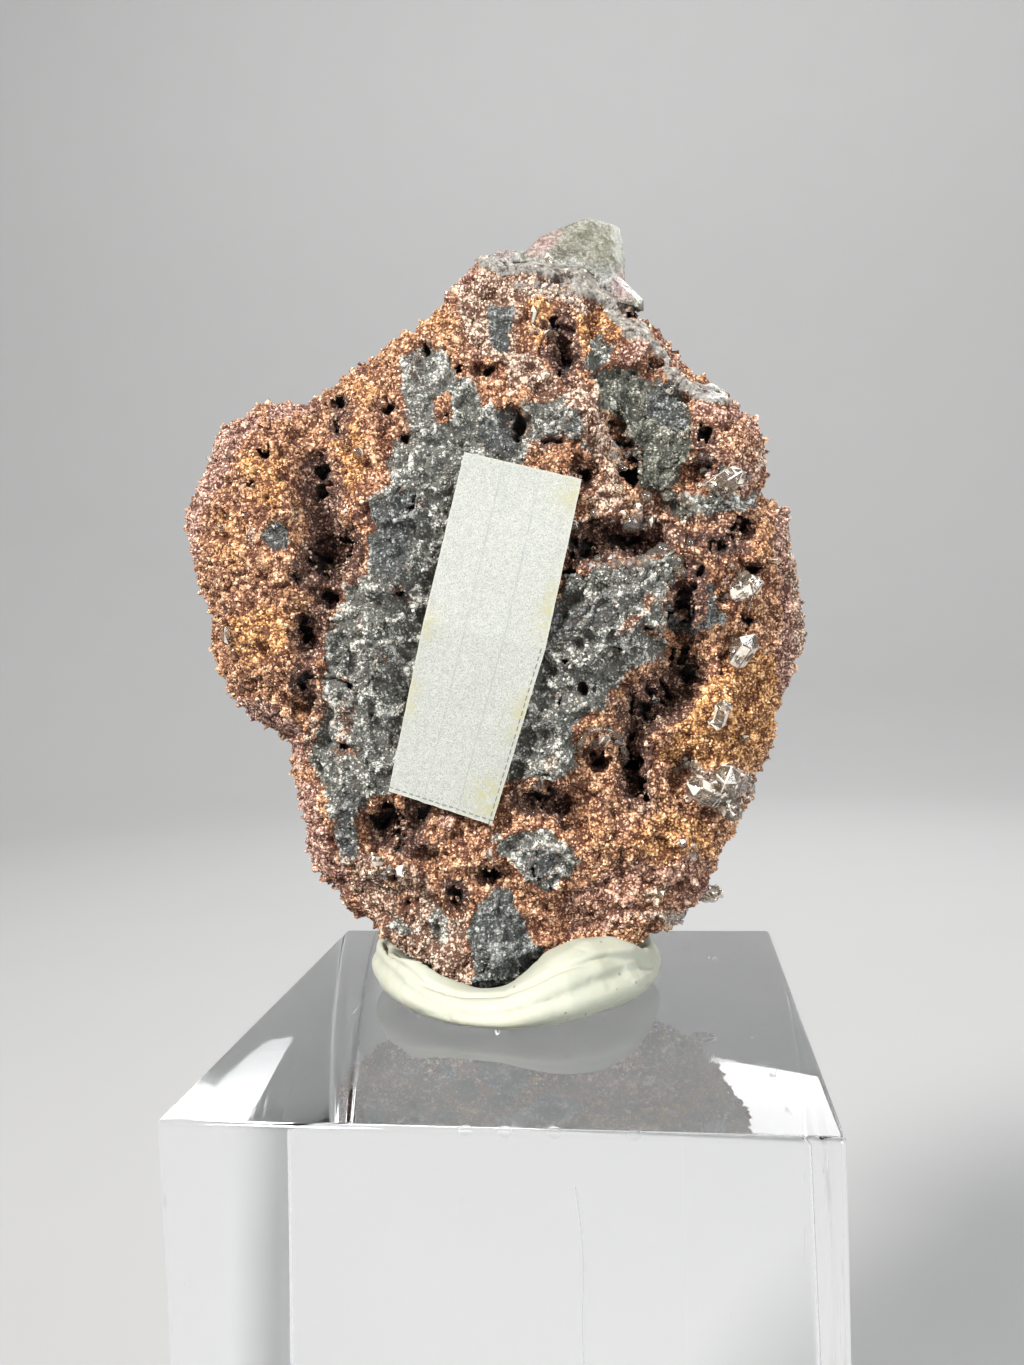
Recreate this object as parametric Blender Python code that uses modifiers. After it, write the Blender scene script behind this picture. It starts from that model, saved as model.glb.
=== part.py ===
"""Cerussite specimen: a crusted stone with clear crystals and a paper label, in tack on a clear block.

The origin is the centre of the block's base, +Z is up and the labelled side faces -Y. The stone has a frame
of its own, in millimetres: x across, y away from the viewer and z up from the block's top.
"""

import math
import random

import bmesh
import bpy
import numpy as np
from mathutils import Matrix, Vector, noise
from mathutils.bvhtree import BVHTree

MM = 0.001
SEED = 4

# Clear block, metres
BLOCK_SIDE = 30.0 * MM
BLOCK_HEIGHT = 60.0 * MM
BLOCK_BEVEL = 0.3 * MM

# Where the stone's frame stands on the block
STONE_PLACE = (-1.2 * MM, 4.6 * MM, BLOCK_HEIGHT)
STONE_TURN = math.radians(7.7)
GAP = 0.3
ROOM_GROWTH = 1.15 * GAP

# The stone, millimetres. Its outline is read clockwise from the top crystals, down the right side to the foot
STONE_CENTRE = (-0.5, 22.0)
STONE_OUTLINE = (
    (3.5, 42.1), (5.6, 41.7), (7.2, 40.7), (8.8, 38.9), (10.2, 37.3), (11.6, 35.8), (13.6, 34.6),
    (15.4, 32.9), (16.0, 30.7), (15.4, 28.7), (16.9, 27.8), (17.5, 25.3), (18.0, 22.3), (17.6, 19.3),
    (16.4, 16.5), (15.8, 13.8), (14.6, 11.4), (13.8, 9.6), (12.6, 7.4), (11.4, 4.6), (9.8, 3.0),
    (7.6, 1.9), (4.6, 1.5), (2.4, 0.7), (0.8, 0.0), (-0.9, -0.6), (-2.4, -0.9), (-4.2, -0.5), (-5.2, 0.3),
    (-6.3, 1.5), (-7.5, 2.4), (-8.3, 3.3), (-8.9, 4.1), (-10.9, 6.0), (-12.2, 9.0), (-12.4, 11.6), (-12.9, 14.8), (-15.6, 17.2),
    (-17.1, 20.0), (-17.6, 22.8), (-18.3, 26.2), (-18.4, 28.8), (-17.2, 31.1), (-16.0, 33.9),
    (-13.6, 35.2), (-11.4, 34.9), (-9.0, 36.0), (-6.4, 38.0), (-4.0, 39.6), (-2.5, 41.1), (-1.5, 42.3),
    (-0.8, 42.9), (1.2, 42.7),
)
FULLNESS = 0.77
# Half thickness in front of the rim and behind it: height, then depth
FRONT_DEPTH = (
    (-1.0, 2.4), (3.0, 3.6), (8.0, 5.6), (14.0, 6.2), (22.0, 6.5), (31.0, 5.7), (38.0, 4.2), (44.0, 1.8),
)
BACK_DEPTH = ((-1.0, 3.4), (5.0, 6.0), (14.0, 8.6), (24.0, 8.8), (32.0, 7.4), (38.0, 5.6), (44.0, 2.6))
# The foot leans towards the viewer: height, then how far its rim stands in front
FOOT_LEAN = ((-1.0, 5.6), (1.0, 4.5), (3.0, 2.9), (6.0, 1.4), (10.0, 0.4), (14.0, 0.0))
SPHERE_CUTS = 6
STONE_FACES = 5500
# How fast the forms set in from the rim
FORM_ONSET = 2.2

# The front is set out as it is seen from in front of the stone: across and up on the label's plane
EYE = Vector((0.4, -63.9, 21.3))
LABEL_PLANE = 6.0

# Forms on the front: across, up, half width, half height, turn in degrees, rise towards the viewer, edge
# An edge of 1 is a soft dome, and 4 a flat top with steep walls
FRONT_FORMS = (
    # Grey ridge that carries the label
    (-5.6, 24.0, 2.3, 11.0, 9, 1.0, 1.5), (-6.8, 15.5, 2.2, 5.0, 0, 0.7, 2),
    (-3.6, 33.2, 2.6, 2.6, 0, 0.7, 2),
    # Left lobe and the valley between it and the ridge
    (-13.2, 27.5, 3.6, 6.0, -12, 1.7, 1.5), (-13.6, 20.0, 2.8, 2.8, 0, 0.9, 1.5),
    (-9.5, 27.6, 1.2, 4.6, -6, -2.4, 1.5), (-9.1, 25.8, 1.5, 1.2, 0, -1.8, 2),
    (-9.3, 23.3, 0.6, 0.6, 0, -1.5, 2), (-10.7, 21.3, 0.6, 1.3, 0, -1.9, 2),
    (-10.9, 17.8, 0.7, 0.9, 0, -1.4, 2), (-8.5, 33.2, 0.6, 0.8, 20, -1.2, 2),
    (-5.9, 33.4, 0.5, 0.5, 0, -1.0, 2),
    # Small pits along the ridge
    (-4.8, 28.4, 0.5, 0.5, 0, -1.0, 2), (-5.3, 23.0, 0.5, 0.8, 0, -1.0, 2),
    (-8.1, 19.6, 0.5, 0.9, 10, -1.1, 2),
    # Top dome with its slot and pits
    (0.0, 36.6, 4.4, 3.0, 0, 0.9, 1.5), (-0.4, 35.0, 0.7, 0.7, 0, -1.2, 2),
    (3.9, 36.0, 0.5, 1.1, -8, -1.9, 2), (1.1, 32.5, 0.5, 0.5, 0, -0.9, 2),
    (3.4, 40.2, 2.9, 0.7, 4, 0.8, 2), (6.0, 37.6, 1.6, 1.0, -30, -0.8, 2),
    # Pale knob, the darker hollow beside it and the pits around them
    (4.9, 32.6, 1.9, 1.9, 0, 1.7, 2), (7.9, 32.3, 2.2, 2.5, 0, -0.9, 2), (8.8, 33.0, 1.0, 1.0, 0, 0.7, 2),
    (6.6, 31.2, 0.4, 2.2, -10, -1.5, 2), (8.6, 35.0, 0.6, 0.6, 0, -1.1, 2),
    (4.7, 29.4, 0.7, 0.6, 0, -1.5, 2),
    # Right upper lobe, ledge and second lobe
    (12.4, 31.2, 2.4, 2.5, 0, 1.7, 1.5), (11.4, 31.2, 0.5, 0.5, 0, -1.3, 2),
    (10.6, 29.2, 0.6, 1.2, 20, -1.4, 2), (12.0, 27.6, 2.1, 0.6, 0, 1.2, 2),
    (13.8, 25.6, 2.0, 2.0, 0, 1.5, 1.5), (13.2, 26.0, 0.6, 0.6, 0, -1.4, 2),
    # Hollow above the grey plate
    (6.2, 25.9, 2.7, 0.8, 2, -3.0, 2), (8.4, 27.6, 1.6, 0.7, 0, -1.4, 2),
    # Grey plate that overhangs the hollows to its lower right, with its own lower tongue
    (5.6, 21.9, 3.8, 2.6, -8, 1.5, 4), (3.0, 18.6, 3.3, 2.4, 40, 0.9, 4),
    (1.9, 14.5, 2.0, 2.3, 20, 1.3, 4),
    # Dark knob with the shadow to its left
    (11.0, 22.0, 1.1, 1.4, 0, 1.6, 2), (9.8, 21.7, 0.5, 1.7, 0, -2.3, 2),
    (9.7, 24.3, 0.5, 0.5, 0, -1.2, 2),
    # Deep hollow under the plate, its cave and its slots
    (9.3, 18.4, 1.5, 2.0, 25, -3.2, 1.5), (7.2, 16.9, 1.3, 1.1, 0, -2.6, 2),
    (6.7, 14.0, 0.6, 2.1, 0, -2.9, 2), (4.9, 14.3, 0.7, 0.7, 0, -1.5, 2),
    (1.9, 11.9, 1.4, 0.6, 15, -2.0, 2),
    # Slope and the cluster at the lower right
    (12.0, 16.4, 2.0, 3.0, 0, 0.9, 1.5), (11.8, 12.2, 2.2, 1.2, 0, 1.5, 1.5),
    (7.6, 9.0, 3.4, 2.8, 0, 1.0, 1.5), (9.3, 12.9, 0.7, 1.6, -20, -1.3, 2),
    (13.4, 8.2, 0.8, 0.8, 0, 0.7, 2), (8.5, 5.1, 1.7, 0.6, 0, 0.9, 2),
    # Hollows and grains low on the left
    (-6.9, 10.7, 1.3, 1.3, 0, -2.4, 2), (-5.2, 11.3, 0.4, 0.9, 0, -1.6, 2),
    (-4.6, 9.2, 0.5, 0.5, 0, -1.2, 2), (-6.9, 8.5, 1.3, 0.9, 0, 1.2, 2),
    (-10.3, 11.0, 1.0, 2.6, 0, 0.7, 1.5), (-6.8, 4.6, 1.6, 1.1, 0, 0.8, 2),
    # Foot: the kite-shaped grey plate, the grey patch and pits
    (-0.9, 4.2, 1.8, 2.7, 0, 1.2, 3), (2.0, 8.0, 1.8, 1.7, 0, 0.8, 3), (-1.3, 7.8, 0.7, 0.6, 0, -1.6, 2),
    (-3.1, 6.2, 0.5, 0.5, 0, -1.1, 2), (3.6, 4.9, 1.3, 0.5, 10, -0.9, 2),
)

# Forms on the hidden side, seen from behind: x, z, half width, half height, turn, rise outwards, edge
BACK_FORMS = (
    (-8.0, 27.0, 5.0, 6.0, 15, 1.6, 1.5), (7.0, 25.0, 5.0, 7.0, -10, 1.3, 2),
    (0.5, 12.0, 6.0, 4.5, 0, 1.2, 1.5), (-0.8, 26.0, 1.5, 7.0, 8, -2.6, 1.5),
    (-7.0, 16.5, 3.0, 1.5, 20, -2.0, 2), (8.5, 14.0, 2.6, 2.2, 0, -1.8, 1.5),
    (3.0, 34.0, 4.0, 2.6, -15, 1.2, 2), (-5.0, 36.0, 2.5, 1.2, 25, -1.2, 2),
    (12.0, 31.0, 2.0, 2.4, 0, 1.2, 2), (-13.5, 22.0, 1.8, 3.2, 10, 1.0, 2),
    (-11.5, 29.5, 0.8, 0.9, 0, -1.6, 2), (5.5, 20.5, 0.9, 1.4, 30, -1.8, 2),
    (12.6, 21.5, 1.8, 3.0, 0, 1.0, 2), (-2.5, 7.5, 1.6, 0.9, 0, -1.2, 2), (4.0, 7.5, 2.2, 1.6, 0, 1.0, 2),
)

# Round knobs and hollows all over: size across and rise, and how much of it goes sideways
KNOBS = ((3.6, 0.9), (1.9, 0.55))
KNOB_SIDEWAYS = 0.6
KNOB_SHIFT = 7.3
# The knobs fade out towards the foot, between these heights
KNOB_FADE = (0.5, 3.5)

# A crystal's rings of corners stand this share of its length from its middle
CRYSTAL_SHOULDER = 0.27
SIX_SIDES = 6

# Small crystals grown on the stone, on the label's plane: across, up, length, width, lean across and up
SEATED_CRYSTALS = (
    (-14.9, 22.3, 1.7, 0.9, -0.6, 0.2), (-7.5, 31.2, 1.3, 0.8, 0.1, 0.3), (2.4, 38.0, 1.6, 0.8, 0.3, 0.5),
    (3.1, 37.1, 1.2, 0.7, 0.6, 0.0), (5.6, 31.7, 1.3, 0.7, 0.4, 0.2), (6.7, 29.9, 1.5, 0.7, 0.5, -0.2),
    (7.3, 26.8, 1.0, 0.8, 0.0, 0.5), (4.3, 23.9, 1.0, 0.8, 0.3, 0.5), (5.4, 15.0, 1.9, 0.8, 0.2, 0.4),
    (8.1, 17.0, 1.2, 0.9, 0.0, 0.2), (-1.1, 8.9, 1.3, 0.6, 0.2, 0.6), (-7.4, 8.9, 1.4, 0.8, -0.5, 0.2),
    (-6.1, 8.3, 1.3, 0.8, 0.2, -0.3), (9.4, 9.2, 1.1, 0.6, 0.3, 0.1), (8.0, 6.4, 1.3, 0.7, 0.1, -0.4),
    (-10.6, 14.6, 1.3, 0.7, -0.6, 0.1), (-15.0, 28.4, 1.3, 0.8, -0.5, 0.3),
    (-12.6, 32.6, 1.4, 0.8, -0.2, 0.6), (14.6, 24.5, 1.4, 0.7, 0.6, 0.1), (9.6, 33.9, 1.4, 0.8, 0.5, 0.4),
    (1.2, 5.4, 1.2, 0.7, 0.4, 0.0), (-3.4, 36.8, 1.3, 0.8, -0.3, 0.5), (4.0, 30.4, 1.0, 0.7, 0.2, -0.3),
    (12.9, 14.8, 1.3, 0.7, 0.5, 0.0),
)

SEATED_FORWARD = -0.35
SEATED_OUTWARD = 0.4
SEATED_LIFT = 0.18
SEATED_FLATNESS = 0.8

# Clear crystals that stand alone: name, across, up, length, width, lean across and up, spin in degrees
CLEAR_CRYSTALS = (
    ("upper_right_crystal", 12.0, 28.9, 2.9, 1.7, 0.25, 0.15, 20),
    ("right_edge_crystal", 12.9, 23.0, 2.7, 1.5, 0.45, 0.10, 50),
    ("slope_crystal", 12.9, 19.7, 2.7, 1.6, 0.20, 0.35, 10),
    ("small_slope_crystal", 11.6, 16.3, 1.9, 1.1, 0.10, 0.45, 80),
    ("foot_edge_crystal", 10.7, 6.2, 2.4, 1.3, 0.80, -0.10, 30),
)

CLEAR_FORWARD = -0.25
CLEAR_LIFT = 0.30
CLEAR_FLATNESS = 0.75

# Corners of the wedge-shaped crystal at the very top and of the shoulder beside it: x, y, z
APEX_WEDGE = (
    (1.7, 0.3, 42.4), (5.0, -0.6, 41.9), (7.9, 0.0, 41.3), (1.9, 1.1, 43.7), (3.2, 1.5, 45.0), (4.4, 1.6, 45.4),
    (6.1, 1.8, 46.1), (7.9, 1.6, 45.4), (8.1, 0.9, 43.2), (2.6, 4.4, 43.4), (6.9, 4.8, 44.6),
    (8.3, 4.3, 43.0), (8.0, 4.0, 40.3), (3.0, 4.2, 40.4), (2.2, 1.0, 40.6), (7.7, 1.0, 40.0),
)
APEX_SHOULDER = (
    (-0.8, 0.4, 43.1), (1.6, -0.6, 42.3), (2.6, 0.2, 42.6), (0.0, 1.2, 43.8), (0.8, 1.4, 44.2), (1.7, 1.5, 44.2),
    (2.8, 1.6, 43.9), (0.4, 3.4, 42.9), (2.6, 3.6, 43.0), (2.4, 2.6, 40.8), (-0.2, 2.2, 41.2),
)
# Clear crystals that run on from the wedge: x, y, z of each one's middle, length, width, thickness, axis
APEX_BAND = (
    (2.6, -0.7, 42.0, 5.6, 1.5, 1.4, (1.0, 0.04, 0.02)),
    (7.5, -0.2, 40.6, 4.4, 2.2, 1.8, (0.76, 0.1, -0.74)), (6.6, 3.4, 40.6, 5.2, 2.4, 2.0, (0.8, 0.2, -0.4)),
)
# Clear rind grown on the stone below them, down the right ridge, in the same order
RIND = (
    (9.7, 0.3, 37.8, 3.4, 2.1, 1.9, (0.62, 0.05, -0.8)),
    (10.9, 0.4, 36.2, 3.4, 2.1, 1.9, (0.65, 0.0, -0.75)),
    (12.3, 0.5, 34.8, 3.2, 1.7, 1.7, (0.80, 0.0, -0.6)),
    (14.0, 0.6, 33.7, 2.8, 1.4, 1.4, (0.80, 0.1, -0.6)),
    (10.4, 3.2, 36.9, 3.8, 2.2, 2.0, (0.65, 0.2, -0.75)),
)
RIND_SPIN = 0.7
# Crystals grown together on the lower right: across and up on the label's plane, then length, width,
# thickness, axis
LOWER_RIGHT_CLUSTER = (
    (10.7, 12.1, 2.5, 1.5, 1.3, (-0.8, -0.4, 0.5)), (11.7, 12.5, 2.7, 1.7, 1.4, (0.2, -0.6, 0.8)),
    (12.8, 12.1, 2.6, 1.6, 1.3, (0.9, -0.3, 0.3)), (11.9, 11.5, 2.4, 1.5, 1.2, (0.3, -0.7, -0.8)),
)
# Crusts of crystals grown together on the hidden side: x, z, length, width, thickness, axis
BACK_CLUSTERS = {
    "back_crystals_upper": (
        (5.6, 35.2, 4.6, 2.8, 1.9, (0.8, 0.3, 0.7)), (7.6, 34.0, 4.8, 3.0, 2.0, (-0.5, 0.5, 0.8)),
        (9.2, 32.2, 4.6, 2.8, 2.0, (0.6, 0.4, -0.8)), (7.0, 31.6, 4.8, 3.0, 2.2, (0.2, 0.8, 0.5)),
        (4.8, 33.0, 4.2, 2.6, 1.8, (-0.9, 0.4, 0.1)), (8.6, 29.6, 4.4, 2.6, 1.9, (-0.3, 0.5, -0.9)),
        (10.8, 30.0, 4.2, 2.6, 1.8, (0.9, 0.4, 0.2)), (6.2, 29.2, 3.8, 2.4, 1.7, (-0.8, 0.5, -0.4)),
        (10.2, 27.6, 3.8, 2.3, 1.6, (0.5, 0.6, -0.7)),
    ),
    "back_crystals_lower": (
        (-8.6, 19.2, 3.8, 2.4, 1.7, (-0.7, 0.5, 0.6)), (-7.0, 18.0, 4.0, 2.6, 1.8, (0.4, 0.7, 0.6)),
        (-5.6, 16.6, 3.6, 2.3, 1.6, (0.8, 0.4, -0.5)), (-7.6, 16.2, 3.8, 2.4, 1.7, (-0.5, 0.6, -0.8)),
        (-9.4, 17.2, 3.2, 2.0, 1.5, (-0.9, 0.4, -0.1)),
    ),
}

CLUSTER_SPIN = 0.9
LOWER_RIGHT_LIFT = 0.3
BACK_LIFT = 0.5
BEHIND = 40.0

# Paper label: its corners on the label's plane, its depths at top, middle and foot, the flat room round it
LABEL_TOP = ((-1.7, 31.0), (4.6, 29.3))
LABEL_MIDDLE = ((-4.3, 21.9), (2.3, 20.2))
LABEL_FOOT = ((-6.6, 12.7), (-1.0, 10.6))
LABEL_DEPTHS = (6.3, 7.1, 6.6)
LABEL_MARGIN = 1.2
LABEL_CLEARANCE = 0.39
LABEL_THICKNESS = 0.2
LABEL_COLUMNS = 3
LABEL_ROWS = 10

# Collar of mineral tack: its profile as radius and height, then its crest's height and how far it reaches out,
# at each angle all round. It is squeezed out furthest in front
COLLAR_CENTRE = (-0.1, 0.1)
COLLAR_PROFILE = (
    (0.0, 0.3), (7.2, 0.3), (8.1, 0.5), (8.6, 1.1), (8.65, 1.7), (8.3, 2.15), (8.35, 2.6), (8.0, 3.3),
    (7.0, 3.7), (5.6, 3.5), (0.0, 3.0),
)
COLLAR_CREST = 3.7
COLLAR_STEPS = 54
# Uneven swellings of the collar's round: how many, how much, where they start
COLLAR_SWELLS = ((3, 0.008, 0.6), (7, 0.006, 0.0))
COLLAR_RIM = (
    (0, 2.9), (60, 3.1), (120, 3.4), (180, 3.3), (200, 3.9), (215, 3.7), (228, 3.2), (243, 2.3), (256, 1.9),
    (268, 2.2), (285, 3.6), (300, 4.2), (315, 4.0), (330, 3.5), (345, 3.1), (360, 2.9),
)
COLLAR_REACH = (
    (0, 1.03), (60, 1.0), (120, 1.0), (180, 1.01), (200, 1.0), (215, 1.02), (225, 1.055), (240, 1.10),
    (255, 1.14), (270, 1.165), (285, 1.175), (300, 1.15), (315, 1.12), (330, 1.075), (345, 1.04), (360, 1.03),
)


def clear_scene():
    for thing in list(bpy.data.objects):
        bpy.data.objects.remove(thing, do_unlink=True)


def new_collection(name):
    group = bpy.data.collections.new(name)
    bpy.context.scene.collection.children.link(group)
    return group


def new_material(name, colour, roughness, transmission=0.0, ior=1.5):
    material = bpy.data.materials.new(name)
    material.use_nodes = True
    shader = material.node_tree.nodes["Principled BSDF"]
    shader.inputs["Base Color"].default_value = (*colour, 1.0)
    shader.inputs["Roughness"].default_value = roughness
    shader.inputs["Metallic"].default_value = 0.0
    shader.inputs["Transmission Weight"].default_value = transmission
    shader.inputs["IOR"].default_value = ior
    return material


def new_object(name, bm, group, material=None, parent=None):
    """Turn a bmesh in metres into a named object."""
    bmesh.ops.recalc_face_normals(bm, faces=bm.faces)
    mesh = bpy.data.meshes.new(name)
    bm.to_mesh(mesh)
    bm.free()
    if material:
        mesh.materials.append(material)
    thing = bpy.data.objects.new(name, mesh)
    group.objects.link(thing)
    thing.parent = parent
    return thing


def make_cutter(thing):
    thing.hide_render = True
    thing.display_type = "WIRE"


def bake_modifiers(thing):
    """Keep what the modifiers give as the object's own mesh."""
    bpy.context.view_layer.update()
    evaluated = thing.evaluated_get(bpy.context.evaluated_depsgraph_get())
    mesh = bpy.data.meshes.new_from_object(evaluated)
    thing.modifiers.clear()
    thing.data = mesh


def add_boolean(thing, other, operation):
    cut = thing.modifiers.new(other.name, "BOOLEAN")
    cut.operation = operation
    cut.object = other
    cut.solver = "EXACT"


def keep_largest_body(thing):
    """Drop the chips that a cut leaves beside the main body."""
    bm = bmesh.new()
    bm.from_mesh(thing.data)
    bodies = []
    left = set(bm.verts)
    while left:
        body = {left.pop()}
        edge_of_body = list(body)
        while edge_of_body:
            vert = edge_of_body.pop()
            found = {edge.other_vert(vert) for edge in vert.link_edges} & left
            left -= found
            body |= found
            edge_of_body.extend(found)
        bodies.append(body)
    bodies.sort(key=len)
    chips = [vert for body in bodies[:-1] for vert in body]
    bmesh.ops.delete(bm, geom=chips, context="VERTS")
    bm.to_mesh(thing.data)
    bm.free()


def outline_reach(angle):
    """Distance from the stone's centre line to its outline, for each angle."""
    across = [x - STONE_CENTRE[0] for x, _ in STONE_OUTLINE]
    up = [z - STONE_CENTRE[1] for _, z in STONE_OUTLINE]
    angles = np.arctan2(up, across)
    order = np.argsort(angles)
    return np.interp(angle, angles[order], np.hypot(across, up)[order], period=2 * math.pi)


def falloff(across, up, form):
    """How much of a form is left at each place: 1 in its middle, 0 well outside it."""
    x, z, half_width, half_height, turn, _, edge = form
    turn = math.radians(turn)
    right = across - x
    rise = up - z
    along = (right * math.cos(turn) - rise * math.sin(turn)) / half_width
    upward = (right * math.sin(turn) + rise * math.cos(turn)) / half_height
    return np.exp(-((along**2 + upward**2) ** edge))


def onto_label_plane(x, y, z):
    """Where a point shows on the label's plane, as seen from the eye."""
    scale = (-EYE.y - LABEL_PLANE) / (y - EYE.y)
    return EYE.x + (x - EYE.x) * scale, EYE.z + (z - EYE.z) * scale


def off_label_plane(across, up, y):
    """The point at depth y that shows at this place on the label's plane."""
    scale = (y - EYE.y) / (-EYE.y - LABEL_PLANE)
    return Vector((EYE.x + (across - EYE.x) * scale, y, EYE.z + (up - EYE.z) * scale))


def label_depth(across, up):
    """How far the label's back stands in front of the rim, and whether the place lies under it."""
    heights = [(LABEL_FOOT[0][1] + LABEL_FOOT[1][1]) / 2, (LABEL_MIDDLE[0][1] + LABEL_MIDDLE[1][1]) / 2,
               (LABEL_TOP[0][1] + LABEL_TOP[1][1]) / 2]
    left = [LABEL_FOOT[0][0], LABEL_MIDDLE[0][0], LABEL_TOP[0][0]]
    right = [LABEL_FOOT[1][0], LABEL_MIDDLE[1][0], LABEL_TOP[1][0]]
    tilt = (LABEL_TOP[1][1] - LABEL_TOP[0][1]) / (LABEL_TOP[1][0] - LABEL_TOP[0][0])
    middle = (np.interp(up, heights, left) + np.interp(up, heights, right)) / 2
    level = up - (across - middle) * tilt
    inside = (across > np.interp(level, heights, left) - LABEL_MARGIN)
    inside &= across < np.interp(level, heights, right) + LABEL_MARGIN
    inside &= (level > heights[0] - LABEL_MARGIN) & (level < heights[2] + LABEL_MARGIN)
    return np.interp(level, heights, LABEL_DEPTHS[::-1]), inside


def knobs(points, size, offset):
    """Rounded knobs that meet in creases, about 0.5 high in their middles and -0.5 in the creases."""
    shift = Vector((offset, 0, 0))
    reach = [noise.noise(Vector(p) / size + shift, noise_basis="VORONOI_F1") for p in points]
    return 0.5 - np.clip(np.array(reach), 0, 1)


def stone_points(direction):
    """Move points of a unit sphere onto the crusted stone, in millimetres in the stone's own frame."""
    angle = np.arctan2(direction[:, 2], direction[:, 0])
    reach = outline_reach(angle) * np.hypot(direction[:, 0], direction[:, 2]) ** FULLNESS
    depth = np.sign(direction[:, 1]) * np.abs(direction[:, 1]) ** FULLNESS
    x = STONE_CENTRE[0] + reach * np.cos(angle)
    z = STONE_CENTRE[1] + reach * np.sin(angle)
    front = depth < 0
    y = depth * np.where(front, np.interp(z, *zip(*FRONT_DEPTH)), np.interp(z, *zip(*BACK_DEPTH)))
    onset = np.clip(np.abs(depth) * FORM_ONSET, 0, 1)

    scale = (-EYE.y - LABEL_PLANE) / -EYE.y
    across = EYE.x + (x - EYE.x) * scale
    up = EYE.z + (z - EYE.z) * scale
    rise = sum(form[5] * falloff(across, up, form) for form in FRONT_FORMS)
    swell = sum(form[5] * falloff(x, z, form) for form in BACK_FORMS)
    y = np.where(front, y - rise * onset, y + swell * onset)

    points = np.stack((x, y, z), axis=1)
    rough = np.interp(z, KNOB_FADE, (0, 1))
    rough *= sum(rise * knobs(points, size, number * KNOB_SHIFT) for number, (size, rise) in enumerate(KNOBS))
    points = points + direction * (KNOB_SIDEWAYS, 1, KNOB_SIDEWAYS) * rough[:, None]
    points[:, 1] -= np.interp(z, *zip(*FOOT_LEAN))

    shrink = np.where(points[:, 1] < 0, (points[:, 1] - EYE.y) / -EYE.y, 1.0)
    points[:, 0] = EYE.x + (points[:, 0] - EYE.x) * shrink
    points[:, 2] = EYE.z + (points[:, 2] - EYE.z) * shrink
    return points


def press_under_label(stone):
    """Flatten what would stand into the label, so that it lies on the ridge with the gap under it."""
    for vert in stone.data.vertices:
        x, y, z = vert.co / MM
        depth, inside = label_depth(*onto_label_plane(x, y, z))
        if inside and y < LABEL_CLEARANCE - depth:
            vert.co.y = (LABEL_CLEARANCE - depth) * MM


def add_hull(bm, corners):
    """Add the flat-faced body that closes round these corners, given in millimetres."""
    verts = [bm.verts.new(Vector(corner) * MM) for corner in corners]
    made = bmesh.ops.convex_hull(bm, input=verts)
    inside = [item for item in made["geom_interior"] if isinstance(item, bmesh.types.BMVert)]
    bmesh.ops.delete(bm, geom=inside, context="VERTS")


def add_crystal(bm, middle, axis, length, width, thickness, spin=0.0):
    """Add a six-sided crystal with pointed ends: two rings and two tips in one hull."""
    turn = Vector(axis).to_track_quat("Z", "Y").to_matrix().to_4x4() @ Matrix.Rotation(spin, 4, "Z")
    place = Matrix.Translation(middle) @ turn
    corners = []
    for end in (-1, 1):
        for side in range(SIX_SIDES):
            angle = side * math.tau / SIX_SIDES
            ring = (math.cos(angle) * width / 2, math.sin(angle) * thickness / 2)
            corners.append(place @ Vector((*ring, end * length * CRYSTAL_SHOULDER)))
        corners.append(place @ Vector((0, 0, end * length / 2)))
    add_hull(bm, corners)


def make_stone(parts, material, stand):
    """The bare stone: a ball of triangles moved onto its outline and forms, thinned where it is plain."""
    bm = bmesh.new()
    bmesh.ops.create_icosphere(bm, subdivisions=SPHERE_CUTS, radius=1.0)
    direction = np.array([vert.co.normalized() for vert in bm.verts])
    for vert, point in zip(bm.verts, stone_points(direction)):
        vert.co = Vector(point) * MM
    dense_faces = len(bm.faces)
    stone = new_object("stone", bm, parts, material, stand)
    thin = stone.modifiers.new("thin", "DECIMATE")
    thin.ratio = STONE_FACES / dense_faces
    bake_modifiers(stone)
    press_under_label(stone)
    return stone


def swollen_copy(stone, cutters, stand):
    """The stone grown by the gap all over, which clears the room for what sits on it."""
    bm = bmesh.new()
    bm.from_mesh(stone.data)
    bm.normal_update()
    moves = [vert.normal * ROOM_GROWTH * MM for vert in bm.verts]
    for vert, move in zip(bm.verts, moves):
        vert.co += move
    copy = new_object("stone_room", bm, cutters, parent=stand)
    make_cutter(copy)
    return copy


class Surface:
    """Finds places on the stone's surface, in millimetres in the stone's frame."""

    def __init__(self, stone):
        corners = [vert.co / MM for vert in stone.data.vertices]
        faces = [tuple(face.vertices) for face in stone.data.polygons]
        self.tree = BVHTree.FromPolygons(corners, faces)

    def seen(self, across, up):
        """The front of the stone at a place on the label's plane."""
        towards = (off_label_plane(across, up, 0.0) - EYE).normalized()
        place, normal, _, _ = self.tree.ray_cast(EYE, towards)
        if place is None:
            place, normal, _, _ = self.tree.find_nearest(off_label_plane(across, up, 0.0))
        return place, normal


def grow_rind(stone, cutters, stand):
    """Join the rind's crystals to the stone one after another, because they overlap."""
    for number, (x, y, z, length, width, thickness, axis) in enumerate(RIND):
        bm = one_crystal(Vector((x, y, z)), axis, length, width, thickness, number * RIND_SPIN)
        crystal = new_object(f"rind_{number}", bm, cutters, parent=stand)
        make_cutter(crystal)
        add_boolean(stone, crystal, "UNION")
    bake_modifiers(stone)


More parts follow.
